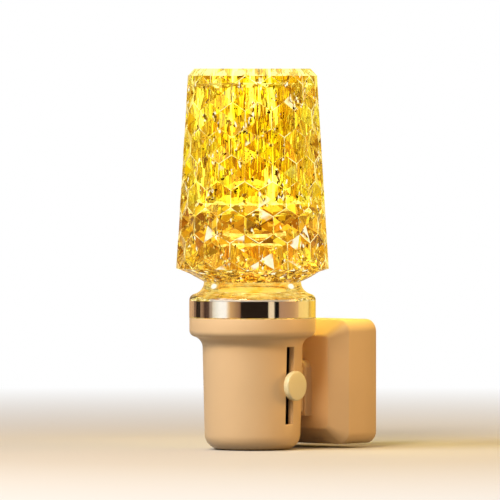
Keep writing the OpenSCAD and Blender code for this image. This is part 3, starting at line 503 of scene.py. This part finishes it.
shadeParts = {  # in the order of the slots, after the facets; each glow is painted light, with painted highlights on the ridges, rim, lines and step
    "crystalRidges": {
        "warmLightTints": ((1, 0.9, 0.3), (1, 0.96, 0.5)), "glow": (1.0, 0.97, 0.42), "share": (0.05, 1.0),
        "edge": 8, "cover": 0.1, "scale": 150, "strength": 1.2},
    "crystalRim": {
        "warmLightTints": ((1, 0.95, 0.3), (1, 0.98, 0.5)), "glow": (1.0, 1.0, 0.36), "share": (0.25, 1.0),
        "edge": 12, "scale": 260, "strength": 1.3},
    "crystalWell": {
        "warmLightTints": ((1, 0.66, 0.03), (1, 0.93, 0.06)), "glow": (1.0, 0.98, 0.36), "share": (0.0, 1.0),
        "edge": 16, "cover": -1.3, "scale": 260, "stretch": 0.1, "strength": 3.2},
    "crystalUnderside": {
        "warmLightTints": ((0.06, 0.01, 0.001), (1, 0.52, 0.06)), "glow": (1.0, 0.6, 0.06), "share": (0.0, 0.4),
        "edge": 10, "cover": -0.3, "scale": 480, "stretch": 3, "shardReflections": (620, 0.5)},
    "crystalNeck": {
        "warmLightTints": ((0.9, 0.55, 0.12), (1, 0.92, 0.45)), "glow": (1.0, 0.78, 0.22), "share": (0.05, 0.6),
        "edge": 5, "scale": 200, "stretch": 2.5, "glints": True},
    "crystalPocket": {
        "warmLightTints": ((1, 0.7, 0.25), (1, 0.88, 0.5)), "glow": (1.0, 0.7, 0.2), "share": (0.0, 0.12)},
    "crystalSkirt": {"warmLightTints": ((1, 0.985, 0.955), (1, 0.99, 0.97))},
    "crystalLines": {
        "warmLightTints": ((1, 0.95, 0.7), (1, 0.97, 0.8)), "glow": (1.0, 0.97, 0.8), "share": (0.3, 1.0),
        "edge": 8, "scale": 200, "strength": 3.2},
    "crystalStep": {
        "warmLightTints": ((0.12, 0.03, 0.005), (1, 0.85, 0.3)), "glow": (1.0, 0.97, 0.8), "share": (0.0, 1.0),
        "edge": 16, "cover": -0.9, "scale": 260, "strength": 2.6},
}


def dimpledWall(mesh):  # rows of sunk hexagons; gives its rows of points and the sunk ones
    s = shade
    half = 2 * s["columns"]
    levels = 3 * s["rows"] + 1
    sunk = set()
    wall = []
    for level in range(levels + 1):
        share = level / levels
        z = s["topHeight"] + (s["footHeight"] - s["topHeight"]) * share
        row = []
        for c in range(half):
            middle = level % 3 == 2 and c % 2 == (level // 3 + 1) % 2
            r = s["topRadius"] + (s["footRadius"] - s["topRadius"]) * share
            angle = 2 * math.pi * c / half - quarterTurn
            lift = 0.0
            if middle:
                r -= s["dimple"] * random.uniform(*s["dimpleSpread"])
                angle += random.uniform(-1, 1) * s["scatter"] / r
                lift = random.uniform(-1, 1) * s["scatter"]
            vert = mesh.verts.new((r * math.cos(angle), r * math.sin(angle), z + lift))
            if middle:
                sunk.add(vert)
            row.append(vert)
        wall.append(row)

    def at(level, c):
        return wall[level][c % half]

    for row in range(s["rows"]):
        m = 3 * row + 2
        for k in range(s["columns"]):
            c = 2 * k + (row + 1) % 2
            rim = [at(m - 2, c), at(m - 1, c + 1), at(m + 1, c + 1), at(m + 2, c), at(m + 1, c - 1),
                   at(m - 1, c - 1)]
            for i in range(6):
                mesh.faces.new((at(m, c), rim[i], rim[(i + 1) % 6]))
    for k in range(s["columns"]):
        c = 2 * k  # row 0 has its middles at odd columns
        mesh.faces.new((at(0, c), at(1, c), at(0, c - 1)))
        mesh.faces.new((at(0, c + 1), at(1, c), at(0, c)))
        c = 2 * k + 1 - (s["rows"] % 2)
        mesh.faces.new((at(levels, c), at(levels, c - 1), at(levels - 1, c)))
        mesh.faces.new((at(levels, c + 1), at(levels, c), at(levels - 1, c)))
    return wall, sunk


def wellProfile(rimTop):  # from the mouth down to the well's floor
    s = shade
    mouthFoot = rimTop - s["mouthDepth"]
    bend = s["wellBend"]
    profile = [(s["mouthRadius"], rimTop - s["mouthEdge"], wellSlot), (s["mouthRadius"], mouthFoot, wellSlot)]
    profile += [(s["wellTop"] + out, mouthFoot - down, stepSlot) for out, down in s["step"]]
    curve = arcPoints((s["wellFloor"] - bend, s["wellFloorHeight"] + bend), bend, 0, -90, steps=6)
    profile += [(r, z, wellSlot if i == 0 else lineSlot) for i, (r, z) in enumerate(curve)]
    profile.append((s["wellFloor"] * s["wellMiddle"], s["wellFloorHeight"], wellSlot))
    return profile


def skirtProfile():  # from the neck out to the skirt, up its bore, and in to the pocket's top
    s = shade
    bend, total = ogee(s["neckRadius"], s["skirtRadius"], s["neckHeight"] - s["skirtTop"])
    hollow = s["neckHollow"]
    rounding = total - hollow
    curve = arcPoints((s["neckRadius"] + hollow, s["neckHeight"]), hollow, 180 + bend, 180)
    profile = [(r, z, neckSlot) for r, z in reversed(curve)][1:]
    curve = arcPoints((s["skirtRadius"] - rounding, s["skirtTop"]), rounding, 0, bend)
    profile += [(r, z, neckSlot if i < s["neckSteps"] else skirtSlot)
                for i, (r, z) in enumerate(reversed(curve))][1:]
    outer, edge, bore, lip = s["skirtRadius"], s["skirtEdge"], s["boreRadius"], s["boreEdge"]
    profile += [(r, z, skirtSlot) for r, z in (
        (outer, s["skirtTop"] - 2 * edge), (outer, rimHeight + edge), (outer - edge, rimHeight),
        (bore + lip, rimHeight), (bore, rimHeight + lip), (bore, s["pocketFoot"]))]
    profile.append((s["pocketRadius"], s["pocketFoot"], neckSlot))
    bend = s["pocketBend"]
    curve = arcPoints((s["pocketTopRadius"] - bend, s["pocketTop"] - bend), bend, 0, 90)
    profile += [(r, z, pocketSlot if i < s["pocketSteps"] else lineSlot) for i, (r, z) in enumerate(curve)]
    return profile


def paintFacets(mesh):  # gives each face a random tone that its finish reads, and the faces nearest the highlight facets a full tone for a painted highlight
    s = shade
    tones = mesh.loops.layers.color.new("facetTone")
    spots = [Vector((s["footRadius"] * math.sin(a), -s["footRadius"] * math.cos(a), z))
             for a, z in ((math.radians(azimuth), z) for azimuth, z in s["highlightFacets"])]
    facets = [face for face in mesh.faces if face.material_index == facetSlot]
    pale = {min(facets, key=lambda face: (face.calc_center_median() - spot).length) for spot in spots}
    for face in mesh.faces:
        tone = 1.0 if face in pale else random.random()
        for loop in face.loops:
            loop[tones] = (tone, tone, tone, 1)


def buildShade():
    s = shade
    random.seed(s["seed"])
    mesh = bmesh.new()
    wall, sunk = dimpledWall(mesh)
    half = len(wall[0])
    rimTop = s["topHeight"] + s["chamfer"][1]
    rimRing = ringOf(mesh, s["topRadius"] - s["chamfer"][0], rimTop, half, -quarterTurn)
    fan(mesh, wall[0], rimRing, rimSlot)
    mesh.normal_update()
    rimEdges = [e for e in mesh.edges if set(e.verts) <= set(wall[0]) or set(e.verts) <= set(rimRing)]
    ridges = [e for e in mesh.edges if not (set(e.verts) & sunk) and e not in rimEdges]
    steep = [e for e in ridges if len(e.link_faces) == 2 and e.calc_face_angle(0) > s["flatAngle"]]

    fine = half * s["fineShare"]  # the turned surfaces share finer rings
    rim = ringOf(mesh, s["mouthRadius"] + s["mouthEdge"], rimTop, fine, -quarterTurn)
    fan(mesh, rimRing, rim, rimSlot)
    cap(mesh, turned(mesh, rim, wellProfile(rimTop)), s["wellFloorHeight"], wellSlot)
    neck = ringOf(mesh, s["neckRadius"], s["neckHeight"], fine, -quarterTurn)
    slope = (s["footHeight"] - s["neckHeight"]) / (s["footRadius"] - s["neckRadius"])
    last = wall[-1]
    for share in s["undersideRings"]:  # uneven small facets
        r = s["footRadius"] + (s["neckRadius"] - s["footRadius"]) * share
        ring = ringOf(mesh, r, s["footHeight"] - slope * (s["footRadius"] - r), 2 * half, -quarterTurn)
        for vert in ring:
            vert.co.z += random.uniform(0, 1) * s["undersideDepth"]
        fan(mesh, last, ring, undersideSlot)
        last = ring
    fan(mesh, last, neck, undersideSlot)
    cap(mesh, turned(mesh, neck, skirtProfile()), s["pocketTop"], pocketSlot)

    bmesh.ops.recalc_face_normals(mesh, faces=mesh.faces)
    for edges, width, slot in ((steep, s["ridgeWidth"], ridgeSlot), (rimEdges, s["rimWidth"], lineSlot)):
        bmesh.ops.bevel(mesh, geom=[e for e in edges if e.is_valid], offset=width, offset_type="OFFSET",
                        segments=2, profile=s["ridgeProfile"], affect="EDGES", material=slot,
                        clamp_overlap=True)
    bmesh.ops.triangulate(mesh, faces=[f for f in mesh.faces if len(f.verts) > 4])
    paintFacets(mesh)
    bmesh.ops.recalc_face_normals(mesh, faces=mesh.faces)
    return mesh


shadeLooks = [facetFinish("crystalFacets")]
shadeLooks += [crystalFinish(name, **look) for name, look in shadeParts.items()]
crystalShade = pieceFrom(buildShade(), "crystal_shade_glass", shadeLooks, "lamp", ["crystal_shade"], lampAxis)
print("crystal shade built with", len(crystalShade.data.polygons), "faces")

cup = {
    "columns": 160, "floorHeight": -23.1, "edgeRadius": 5.4, "footRadius": 16.7, "topRadius": 17.4,
    "shoulderFoot": 12.3, "shoulderTop": 18.3, "shoulderHollow": 0.65, "collarRadius": 22.0, "rimEdge": 0.12,
    "wall": 2.1, "boreFoot": (15.3, 13.0), "boreShoulder": 17.0, "boreRadius": 17.6, "centreRadius": 0.4,
    "slotWidth": 3.8, "slotLow": -14.1, "slotHigh": 12.8, "slotRows": 8, "slotHeadroom": 0.7,
    "slotFlatFrom": 14, "slotRounding": 0.28, "lipAngle": 0.6,
    "pad": {"width": 16.6, "foot": -10.3, "top": 6.6, "corner": 2.9, "back": 15.9, "end": 17.8,
            "rounding": 0.25},
}


def cupColumn(radius, k, middle):  # the slot's two columns keep to its flat sides
    s = cup
    count, halfSlot = s["columns"], s["slotWidth"] / 2
    angle = 2 * math.pi * k / count
    if k in (middle, count - middle):
        side = 1 if k == middle else -1
        if radius > s["slotFlatFrom"]:
            return math.sqrt(radius ** 2 - halfSlot ** 2), side * halfSlot
        angle = side * math.asin(halfSlot / s["footRadius"])
    return radius * math.cos(angle), radius * math.sin(angle)


def cupProfiles():  # radius and height of the cup's outside and inside, from the floor to the rim
    s = cup
    edge, wall, slotHigh = s["edgeRadius"], s["wall"], s["slotHigh"]
    bend, total = ogee(s["topRadius"], s["collarRadius"], s["shoulderTop"] - s["shoulderFoot"])
    hollow, rounding = total * s["shoulderHollow"], total * (1 - s["shoulderHollow"])
    slack = 0.1  # the shoulder's points keep this far from the slot's top

    def taper(z, inset):
        share = (z - (s["floorHeight"] + edge)) / (s["shoulderFoot"] - s["floorHeight"] - edge)
        return s["footRadius"] + (s["topRadius"] - s["footRadius"]) * share - inset

    heights = [s["slotLow"] + (slotHigh - s["slotHeadroom"] - s["slotLow"]) * i / s["slotRows"]
               for i in range(s["slotRows"] + 1)]
    outside = [(s["centreRadius"], s["floorHeight"])]
    outside += arcPoints((s["footRadius"] - edge, s["floorHeight"] + edge), edge, -90, 0, steps=12)
    outside += [(taper(z, 0), z) for z in heights]
    shoulder = arcPoints((s["topRadius"] + hollow, s["shoulderFoot"]), hollow, 180, 180 - bend, steps=10)
    outside += [p for p in shoulder if p[1] < slotHigh - slack]
    lean = math.asin((slotHigh - s["shoulderFoot"]) / hollow)
    outside.append((s["topRadius"] + hollow - hollow * math.cos(lean), slotHigh))
    outside += [p for p in shoulder if p[1] > slotHigh + slack]
    outside += arcPoints((s["collarRadius"] - rounding, s["shoulderTop"]), rounding, -bend, 0)[1:]
    soft = s["rimEdge"]
    outside += [(s["collarRadius"], s["shoulderTop"] + soft), (s["collarRadius"], rimHeight - soft),
                (s["collarRadius"] - soft / 3, rimHeight - soft / 3), (s["collarRadius"] - soft, rimHeight)]
    inside = [(s["centreRadius"], s["floorHeight"] + wall)]
    inside += arcPoints((s["footRadius"] - edge, s["floorHeight"] + edge), edge - wall, -90, 0)
    inside += [(taper(z, wall), z) for z in heights]
    inside += [(taper(s["shoulderFoot"], wall), z) for r, z in shoulder if z < slotHigh - slack]
    inside += [(taper(s["shoulderFoot"], wall), slotHigh), s["boreFoot"],
               (s["boreRadius"], s["boreShoulder"]), (s["boreRadius"], rimHeight)]
    return outside, inside


def buildCup():
    s = cup
    mesh = bmesh.new()
    count = s["columns"]
    middle = round(math.asin(s["slotWidth"] / 2 / s["footRadius"]) / (2 * math.pi) * count)
    touch = 0.01  # nearer heights count as the same

    def atSlot(row):
        return s["slotLow"] - touch < row[0].co.z < s["slotHigh"] + touch

    def shell(profile, flip):
        rows = [[mesh.verts.new((*cupColumn(r, k, middle), z)) for k in range(count)] for r, z in profile]
        for low, high in zip(rows, rows[1:]):
            cut = atSlot(low) and atSlot(high)
            for k in range(count):
                j = (k + 1) % count
                if cut and (k < middle or k >= count - middle):
                    continue
                quad = (low[k], low[j], high[j], high[k])
                mesh.faces.new(tuple(reversed(quad)) if flip else quad)
        cap(mesh, rows[0], profile[0][1], up=flip)
        return rows

    outside, inside = cupProfiles()
    outerRows, innerRows = shell(outside, False), shell(inside, True)
    bridge(mesh, outerRows[-1], innerRows[-1])

    def slotLoop(rows):
        band = [row for row in rows if atSlot(row)]
        right = [row[middle] for row in band]
        left = [row[count - middle] for row in band]
        foot = [band[0][k % count] for k in range(-middle, middle + 1)]
        head = [band[-1][k % count] for k in range(-middle, middle + 1)]
        return foot + right[1:] + list(reversed(head))[1:] + list(reversed(left))[1:-1]

    outerLoop, innerLoop = slotLoop(outerRows), slotLoop(innerRows)
    bridge(mesh, outerLoop, innerLoop)
    bmesh.ops.recalc_face_normals(mesh, faces=mesh.faces)
    loop = set(outerLoop)
    lip = [e for e in mesh.edges if set(e.verts) <= loop and e.calc_face_angle(0) > s["lipAngle"]]
    bmesh.ops.bevel(mesh, geom=lip, offset=s["slotRounding"], offset_type="OFFSET", segments=3,
                    profile=0.5, affect="EDGES", clamp_overlap=True)
    for face in mesh.faces:
        face.smooth = True
    addArch(mesh, **s["pad"])
    return mesh


def archOutline(width, foot, top, corner, inset):
    side, r = width / 2 - inset, corner - inset
    middle = width / 2 - corner
    points = [(side, foot + inset)]
    points += arcPoints((middle, top - corner), r, 0, 90, steps=10)
    points += arcPoints((-middle, top - corner), r, 90, 180, steps=10)
    points.append((-side, foot + inset))
    return points


def addArch(mesh, width, foot, top, corner, back, end, rounding):  # along y, rounded at its free end
    ahead = 1 if end > back else -1
    hold = 1.3  # roundings from the end to the row that keeps the sides flat
    levels = [(0.0, back), (0.0, end - ahead * rounding * hold)]
    levels += [(rounding * (1 - math.cos(math.radians(a))),
                end - ahead * rounding * (1 - math.sin(math.radians(a)))) for a in (0, 30, 60, 90)]
    rows = [[mesh.verts.new((x, y, z)) for x, z in archOutline(width, foot, top, corner, inset)]
            for inset, y in levels]
    made = []
    for low, high in zip(rows, rows[1:]):
        made += bridge(mesh, low, high)
    ends = [mesh.faces.new(rows[0]), mesh.faces.new(list(reversed(rows[-1])))]
    for face in ends:
        face.smooth = True
    bmesh.ops.recalc_face_normals(mesh, faces=made + ends)


cupHousing = pieceFrom(buildCup(), "cup_body", [finishes["cream_plastic"]], "lamp", ["cup_housing"], lampAxis)
print("cup built")

knob = {
    "radius": 5.15, "thickness": 2.3, "back": 18.3, "height": -0.65, "rounding": 0.55, "roundingTurn": 85,
    "columns": 72, "backMiddle": 0.5, "dome": 0.12,
    "domeRings": ((0.7, 0.5), (0.35, 0.1)),  # shares of the radius and of the dome
    "stemWidth": 3.2, "stemHeight": 7.3, "stemBack": 12.9, "stemOverlap": 0.3, "stemRounding": 0.35,
}


def buildKnob():
    s = knob
    mesh = bmesh.new()
    front, r = s["thickness"], s["radius"]
    side = front - s["rounding"] - s["dome"]
    profile = [(r * s["backMiddle"], 0)] + [(r - inset, z) for inset, z in backEdge] + [(r, side)]
    profile += arcPoints((r - s["rounding"], side), s["rounding"], 0, s["roundingTurn"], steps=6)[1:]
    profile += [(r * share, front - s["dome"] * drop) for share, drop in s["domeRings"]]
    rows = [ringOf(mesh, radius, z, s["columns"]) for radius, z in profile]
    for low, high in zip(rows, rows[1:]):
        bridge(mesh, low, high)
    cap(mesh, rows[-1], front)
    cap(mesh, rows[0], 0, up=False)
    for vert in mesh.verts:  # from lying flat to facing +x
        x, y, z = vert.co
        vert.co = (z + s["back"], y, x + s["height"])
    stem = bmesh.ops.create_cube(mesh, size=1.0)["verts"]
    stemFront = s["back"] + s["stemOverlap"]
    for vert in stem:
        vert.co = ((s["stemBack"] + stemFront) / 2 + vert.co.x * (stemFront - s["stemBack"]),
                   vert.co.y * s["stemWidth"], s["height"] + vert.co.z * s["stemHeight"])
    edges = [e for e in mesh.edges if e.verts[0] in stem and e.verts[1] in stem]
    bmesh.ops.bevel(mesh, geom=edges, offset=s["stemRounding"], offset_type="OFFSET", segments=3, profile=0.5,
                    affect="EDGES")
    for face in mesh.faces:
        face.smooth = True
    bmesh.ops.recalc_face_normals(mesh, faces=mesh.faces)
    return mesh


knobLooks = [finishes["knob_plastic"]]
sliderKnob = pieceFrom(buildKnob(), "slider_knob", knobLooks, "slider", ["dimmer_knob"], lampAxis)
print("knob built")

plugBox = {
    "side": 43.5, "depth": 20.1, "middle": 8.0, "wall": 2.0,
    "bevel": (5.6, 5.0), "bevelSteps": 8, "soft": 1.2,  # the bevel's inset and depth
    "cornerRadius": 4.4, "cornerTaper": 0.6, "frontCorner": 1.6, "cornerSteps": 12,
    "innerCorner": 3.2, "innerTaper": 0.5, "innerLeast": 1.2, "innerBack": 1.5, "bossSunk": 0.5,
    "boss": {"width": 17.6, "foot": -11.9, "top": 7.8, "corner": 3.4, "end": -23.7, "rounding": 0.8},
}


def squareRing(mesh, inset, radius, depth):
    half = (plugBox["side"] - 2 * inset) / 2 - radius
    verts = []
    for quarter, (sx, sz) in enumerate(((1, 1), (-1, 1), (-1, -1), (1, -1))):
        for x, z in arcPoints((sx * half, sz * half), radius, 90 * quarter, 90 * quarter + 90,
                              plugBox["cornerSteps"]):
            verts.append(mesh.verts.new((x, -depth, z)))
    return verts


def boxProfile():  # inset and depth over the bevel, with both its edges softened
    s = plugBox
    inset, back = s["bevel"]
    soft, depth = s["soft"], s["depth"]
    lean = math.degrees(math.atan(inset / back))
    first = soft * math.tan(math.radians(lean / 2))
    second = soft * math.tan(math.radians((90 - lean) / 2))
    return (arcPoints((soft, depth - back - first), soft, 180, 180 - lean, s["bevelSteps"])
            + arcPoints((inset + second, depth - soft), soft, 180 - lean, 90, s["bevelSteps"]))


def buildBox():
    s = plugBox
    mesh = bmesh.new()
    rows = []
    for inset, depth in backEdge + [(0.0, s["middle"])] + boxProfile():
        radius = max(s["cornerRadius"] - inset * s["cornerTaper"], s["frontCorner"])
        rows.append(squareRing(mesh, inset, radius, depth))
    inner = []
    for inset, depth in ((s["wall"], 0.0), (s["wall"], s["middle"]),
                         (s["wall"], s["depth"] - s["bevel"][1] - s["innerBack"]),
                         (s["bevel"][0] + s["wall"], s["depth"] - s["wall"])):
        radius = max(s["innerCorner"] - (inset - s["wall"]) * s["innerTaper"], s["innerLeast"])
        inner.append(squareRing(mesh, inset, radius, depth))
    for group in (rows, inner):
        for low, high in zip(group, group[1:]):
            bridge(mesh, low, high)
    bridge(mesh, rows[0], inner[0])
    for last in (rows[-1], inner[-1]):
        mesh.faces.new(last).smooth = True
    bmesh.ops.recalc_face_normals(mesh, faces=mesh.faces)
    addArch(mesh, back=s["bossSunk"] - s["depth"], **s["boss"])
    return mesh


boxShell = pieceFrom(buildBox(), "plug_box_shell", [finishes["cream_plastic"]], "lamp", ["plug_housing"])
print("plug box built")

studio = {
    "azimuth": 40.0, "elevation": 1.146, "distance": 3.136, "lens": 648.0,
    "target": (-0.00067, -0.04226, 0.0463),
    "floorHeight": -0.0232, "floorRadius": 3.0, "floorColumns": 96, "floorFade": (0.12, 0.5),
    "floorTone": (0.78, 0.78, 0.78), "bounceTone": (0.18, 0.18, 0.18), "floorRoughness": 0.6,
    "white": (1.0, 1.0, 1.0), "world": 0.17, "worldColour": (1.0, 0.88, 0.72), "ringRadius": 1.3,
}


def outward(azimuth, elevation):
    a, e = math.radians(azimuth), math.radians(elevation)
    return Vector((math.sin(a) * math.cos(e), -math.cos(a) * math.cos(e), math.sin(e)))


def placeCamera():
    back = outward(studio["azimuth"], studio["elevation"])
    data = bpy.data.cameras.new("camera")
    data.lens = studio["lens"]
    data.sensor_width = 36.0
    data.sensor_fit = "HORIZONTAL"
    data.clip_start = 0.01
    data.clip_end = 50.0
    camera = linked("camera", data)
    camera.location = Vector(studio["target"]) + back * studio["distance"]
    camera.rotation_mode = "QUATERNION"
    camera.rotation_quaternion = (-back).to_track_quat("-Z", "Y")
    bpy.context.scene.camera = camera


def placeWorld():  # white where it is seen, dimmer and warmer where it lights
    world = bpy.data.worlds.new("studio")
    bpy.context.scene.world = world
    f = Finish("studio", world)
    path = f.add("ShaderNodeLightPath")
    seen = (path.output("Is Camera Ray") + path.output("Is Glossy Ray")
            + path.output("Is Transmission Ray")).clipped()
    light = seen * (1 - studio["world"]) + studio["world"]
    colour = f.mixed(seen, studio["worldColour"], studio["white"])
    ground = f.add("ShaderNodeBackground", {}, {"Color": colour, "Strength": light})
    f.add("ShaderNodeOutputWorld", {}, {"Surface": ground})


def placeFloor():  # pale, and white far from the lamp
    mesh = bmesh.new()
    cap(mesh, ringOf(mesh, studio["floorRadius"] / mm, 0, studio["floorColumns"]), 0)
    data = bpy.data.meshes.new("floor")
    bmesh.ops.scale(mesh, vec=(mm, mm, mm), verts=mesh.verts)
    mesh.to_mesh(data)
    mesh.free()
    floor = linked("floor", data)
    floor.location = (0, -axisReach * mm, studio["floorHeight"])
    f = Finish("floor")
    far = f.add("ShaderNodeVectorMath", {"operation": "LENGTH"}, {0: f.place()}, out=1)
    start, width = studio["floorFade"]
    fade = ((far - start) / width).clipped()
    path = f.add("ShaderNodeLightPath")
    tone = f.mixed(path.output("Is Diffuse Ray"), studio["floorTone"], studio["bounceTone"])
    pale = f.surface(**{"Base Color": tone, "Roughness": studio["floorRoughness"]})
    white = f.add("ShaderNodeEmission", {}, {"Color": studio["white"], "Strength": 1.0})
    data.materials.append(f.close(f.mixedShader(fade * path.output("Is Camera Ray"), pale, white)))


backdropRing = [  # azimuth and colour round the studio, seen in metal and through the crystal only
    (-140, (0.66, 0.38, 0.2)), (-104, (0.62, 0.36, 0.18)), (-103, (0.2, 0.11, 0.07)),
    (-96, (0.19, 0.1, 0.06)), (-94, (0.005, 0.004, 0.004)), (-80, (0.005, 0.004, 0.004)),
    (-78, (0.44, 0.26, 0.15)), (-71, (0.32, 0.18, 0.1)), (-65, (0.07, 0.035, 0.024)),
    (-54, (0.09, 0.045, 0.03)), (-51, (0.36, 0.24, 0.16)), (-45, (0.5, 0.38, 0.27)),
    (-43, (0.85, 0.74, 0.56)), (-34, (1.0, 0.95, 0.82)), (-26, (1.15, 1.1, 1.0)),
    (-13, (1.15, 1.08, 0.98)), (-9, (1.0, 0.76, 0.48)), (-4, (0.72, 0.42, 0.18)),
    (6, (0.48, 0.27, 0.12)), (16, (0.28, 0.14, 0.07)), (18, (0.022, 0.013, 0.008)),
    (70, (0.02, 0.012, 0.008)), (72, (0.95, 0.74, 0.48)), (82, (0.95, 0.74, 0.48)),
    (84, (0.004, 0.003, 0.003)), (92, (0.004, 0.003, 0.003)), (94, (0.48, 0.27, 0.15)),
    (118, (0.54, 0.29, 0.13)), (128, (0.62, 0.34, 0.14)), (138, (0.84, 0.48, 0.18)),
    (144, (1.08, 0.72, 0.22)), (174, (1.12, 0.78, 0.22)), (175, (0.55, 0.28, 0.04)),
    (181, (0.6, 0.3, 0.04)), (182, (1.0, 0.6, 0.07)), (218, (1.0, 0.6, 0.06)),
]
patches = {  # a patchwork round and under the lamp, which only the crystal shows
    "seed": 11, "radius": 1.25, "wide": (1.5, 6.0), "tall": (0.005, 0.03),
    "low": 0.03, "high": 0.5, "top": 2.4,  # small patches from low to high, one row over them
    "groundFrom": 0.08, "groundGrowth": (1.06, 1.2), "groundWide": (2.0, 7.0), "groundSpan": (130.0, 310.0),
    "groundLift": 0.0005,
    "tones": ((2.4, 2.3, 1.6), (1.6, 1.35, 0.5), (1.3, 1.08, 0.08), (1.12, 0.82, 0.05), (0.9, 0.55, 0.04),
              (0.6, 0.28, 0.03), (0.25, 0.09, 0.015), (0.08, 0.03, 0.008), (0.02, 0.006, 0.003)),
}


def onCircle(mesh, radius, azimuth, z):
    a = math.radians(azimuth)
    return mesh.verts.new((radius * math.sin(a), -radius * math.cos(a), z))


def glowingStage(name, mesh, glossy):  # a backdrop that lights nothing and that the camera doesn't see
    data = bpy.data.meshes.new(name)
    mesh.to_mesh(data)
    mesh.free()
    f = Finish(name)
    tone = f.add("ShaderNodeVertexColor", {"layer_name": "tone"})
    data.materials.append(f.close(f.add("ShaderNodeEmission", {}, {"Color": tone, "Strength": 1.0})))
    made = linked(name, data)
    made.location = (0, -axisReach * mm, 0)
    made.visible_camera = False
    made.visible_diffuse = False
    made.visible_shadow = False
    made.visible_glossy = glossy


def placeBackdropRing():
    mesh = bmesh.new()
    tones = mesh.loops.layers.float_color.new("tone")
    heights = studio["floorHeight"], patches["top"]
    last = None
    for azimuth, colour in backdropRing + [(360 + backdropRing[0][0], backdropRing[0][1])]:
        pair = [onCircle(mesh, studio["ringRadius"], azimuth, z) for z in heights]
        if last:
            face = mesh.faces.new((last[0][0], pair[0], pair[1], last[0][1]))
            for loop, tone in zip(face.loops, (last[1], colour, colour, last[1])):
                loop[tones] = (*tone, 1)
        last = (pair, colour)
    glowingStage("backdropRing", mesh, True)


def placePatches():
    p = patches
    random.seed(p["seed"])
    mesh = bmesh.new()
    tones = mesh.loops.layers.float_color.new("tone")

    def band(inner, outer, span, widths):  # both edges as radius and height
        azimuth = span[0]
        tone = None
        while azimuth < span[1]:
            end = min(azimuth + random.uniform(*widths), span[1])
            tone = random.choice([t for t in p["tones"] if t != tone])
            corners = [onCircle(mesh, inner[0], azimuth, inner[1]), onCircle(mesh, inner[0], end, inner[1]),
                       onCircle(mesh, outer[0], end, outer[1]), onCircle(mesh, outer[0], azimuth, outer[1])]
            for loop in mesh.faces.new(corners).loops:
                loop[tones] = (*tone, 1)
            azimuth = end

    z = p["low"]
    while z < p["top"]:
        high = z + random.uniform(*p["tall"]) if z < p["high"] else p["top"]
        band((p["radius"], z), (p["radius"], high), (0, 360), p["wide"])
        z = high
    reach = p["groundFrom"]
    level = studio["floorHeight"] + p["groundLift"]
    while reach < p["radius"]:
        far = min(reach * random.uniform(*p["groundGrowth"]), p["radius"])
        band((reach, level), (far, level), p["groundSpan"], p["groundWide"])
        reach = far
    glowingStage("patches", mesh, False)


lamps = {
    "keyLamp": {"azimuth": -18, "elevation": 42, "distance": 0.9, "size": 0.5, "watts": 4.3,
                "colour": (1.0, 1.0, 1.0)},
    "frontLamp": {"azimuth": 20, "elevation": 40, "distance": 0.9, "size": 0.25, "watts": 4.5,
                  "colour": (1.0, 0.75, 0.47)},
    "fillLamp": {"azimuth": 125, "elevation": 15, "distance": 1.0, "size": 0.5, "watts": 3.85,
                 "colour": (1.0, 0.55, 0.12)},
}
lampTarget = 0.04  # the height that the lamps point at
shadeGlow = {  # the shade's own light on what is near it
    "azimuths": (150, 210), "reach": 0.036, "height": 0.05, "size": 0.008, "watts": 0.043,
    "colour": (1.0, 0.8, 0.16),
}


def placeLamp(name, azimuth, elevation, distance, size, watts, colour):
    data = bpy.data.lights.new(name, "AREA")
    data.shape = "DISK"
    data.size = size
    data.energy = watts
    data.color = colour
    lamp = linked(name, data)
    back = outward(azimuth, elevation)
    lamp.location = Vector((0, -axisReach * mm, lampTarget)) + back * distance
    lamp.rotation_mode = "QUATERNION"
    lamp.rotation_quaternion = back.to_track_quat("Z", "Y")
    lamp.visible_camera = False


def placeShadeGlow():
    s = shadeGlow
    for azimuth in s["azimuths"]:
        data = bpy.data.lights.new("shadeGlow", "POINT")
        data.energy = s["watts"]
        data.color = s["colour"]
        data.shadow_soft_size = s["size"]
        lamp = linked("shadeGlow", data)
        turn = math.radians(azimuth)
        east, south = s["reach"] * math.sin(turn), s["reach"] * math.cos(turn)
        lamp.location = (east, -south - axisReach * mm, s["height"])
        lamp.visible_camera = False
        lamp.visible_glossy = False
        lamp.visible_transmission = False


placeCamera()
placeWorld()
placeFloor()
placeBackdropRing()
placePatches()
for name, lamp in lamps.items():
    placeLamp(name, **lamp)
placeShadeGlow()
bpy.context.scene.view_settings.view_transform = "Standard"
print("studio set")
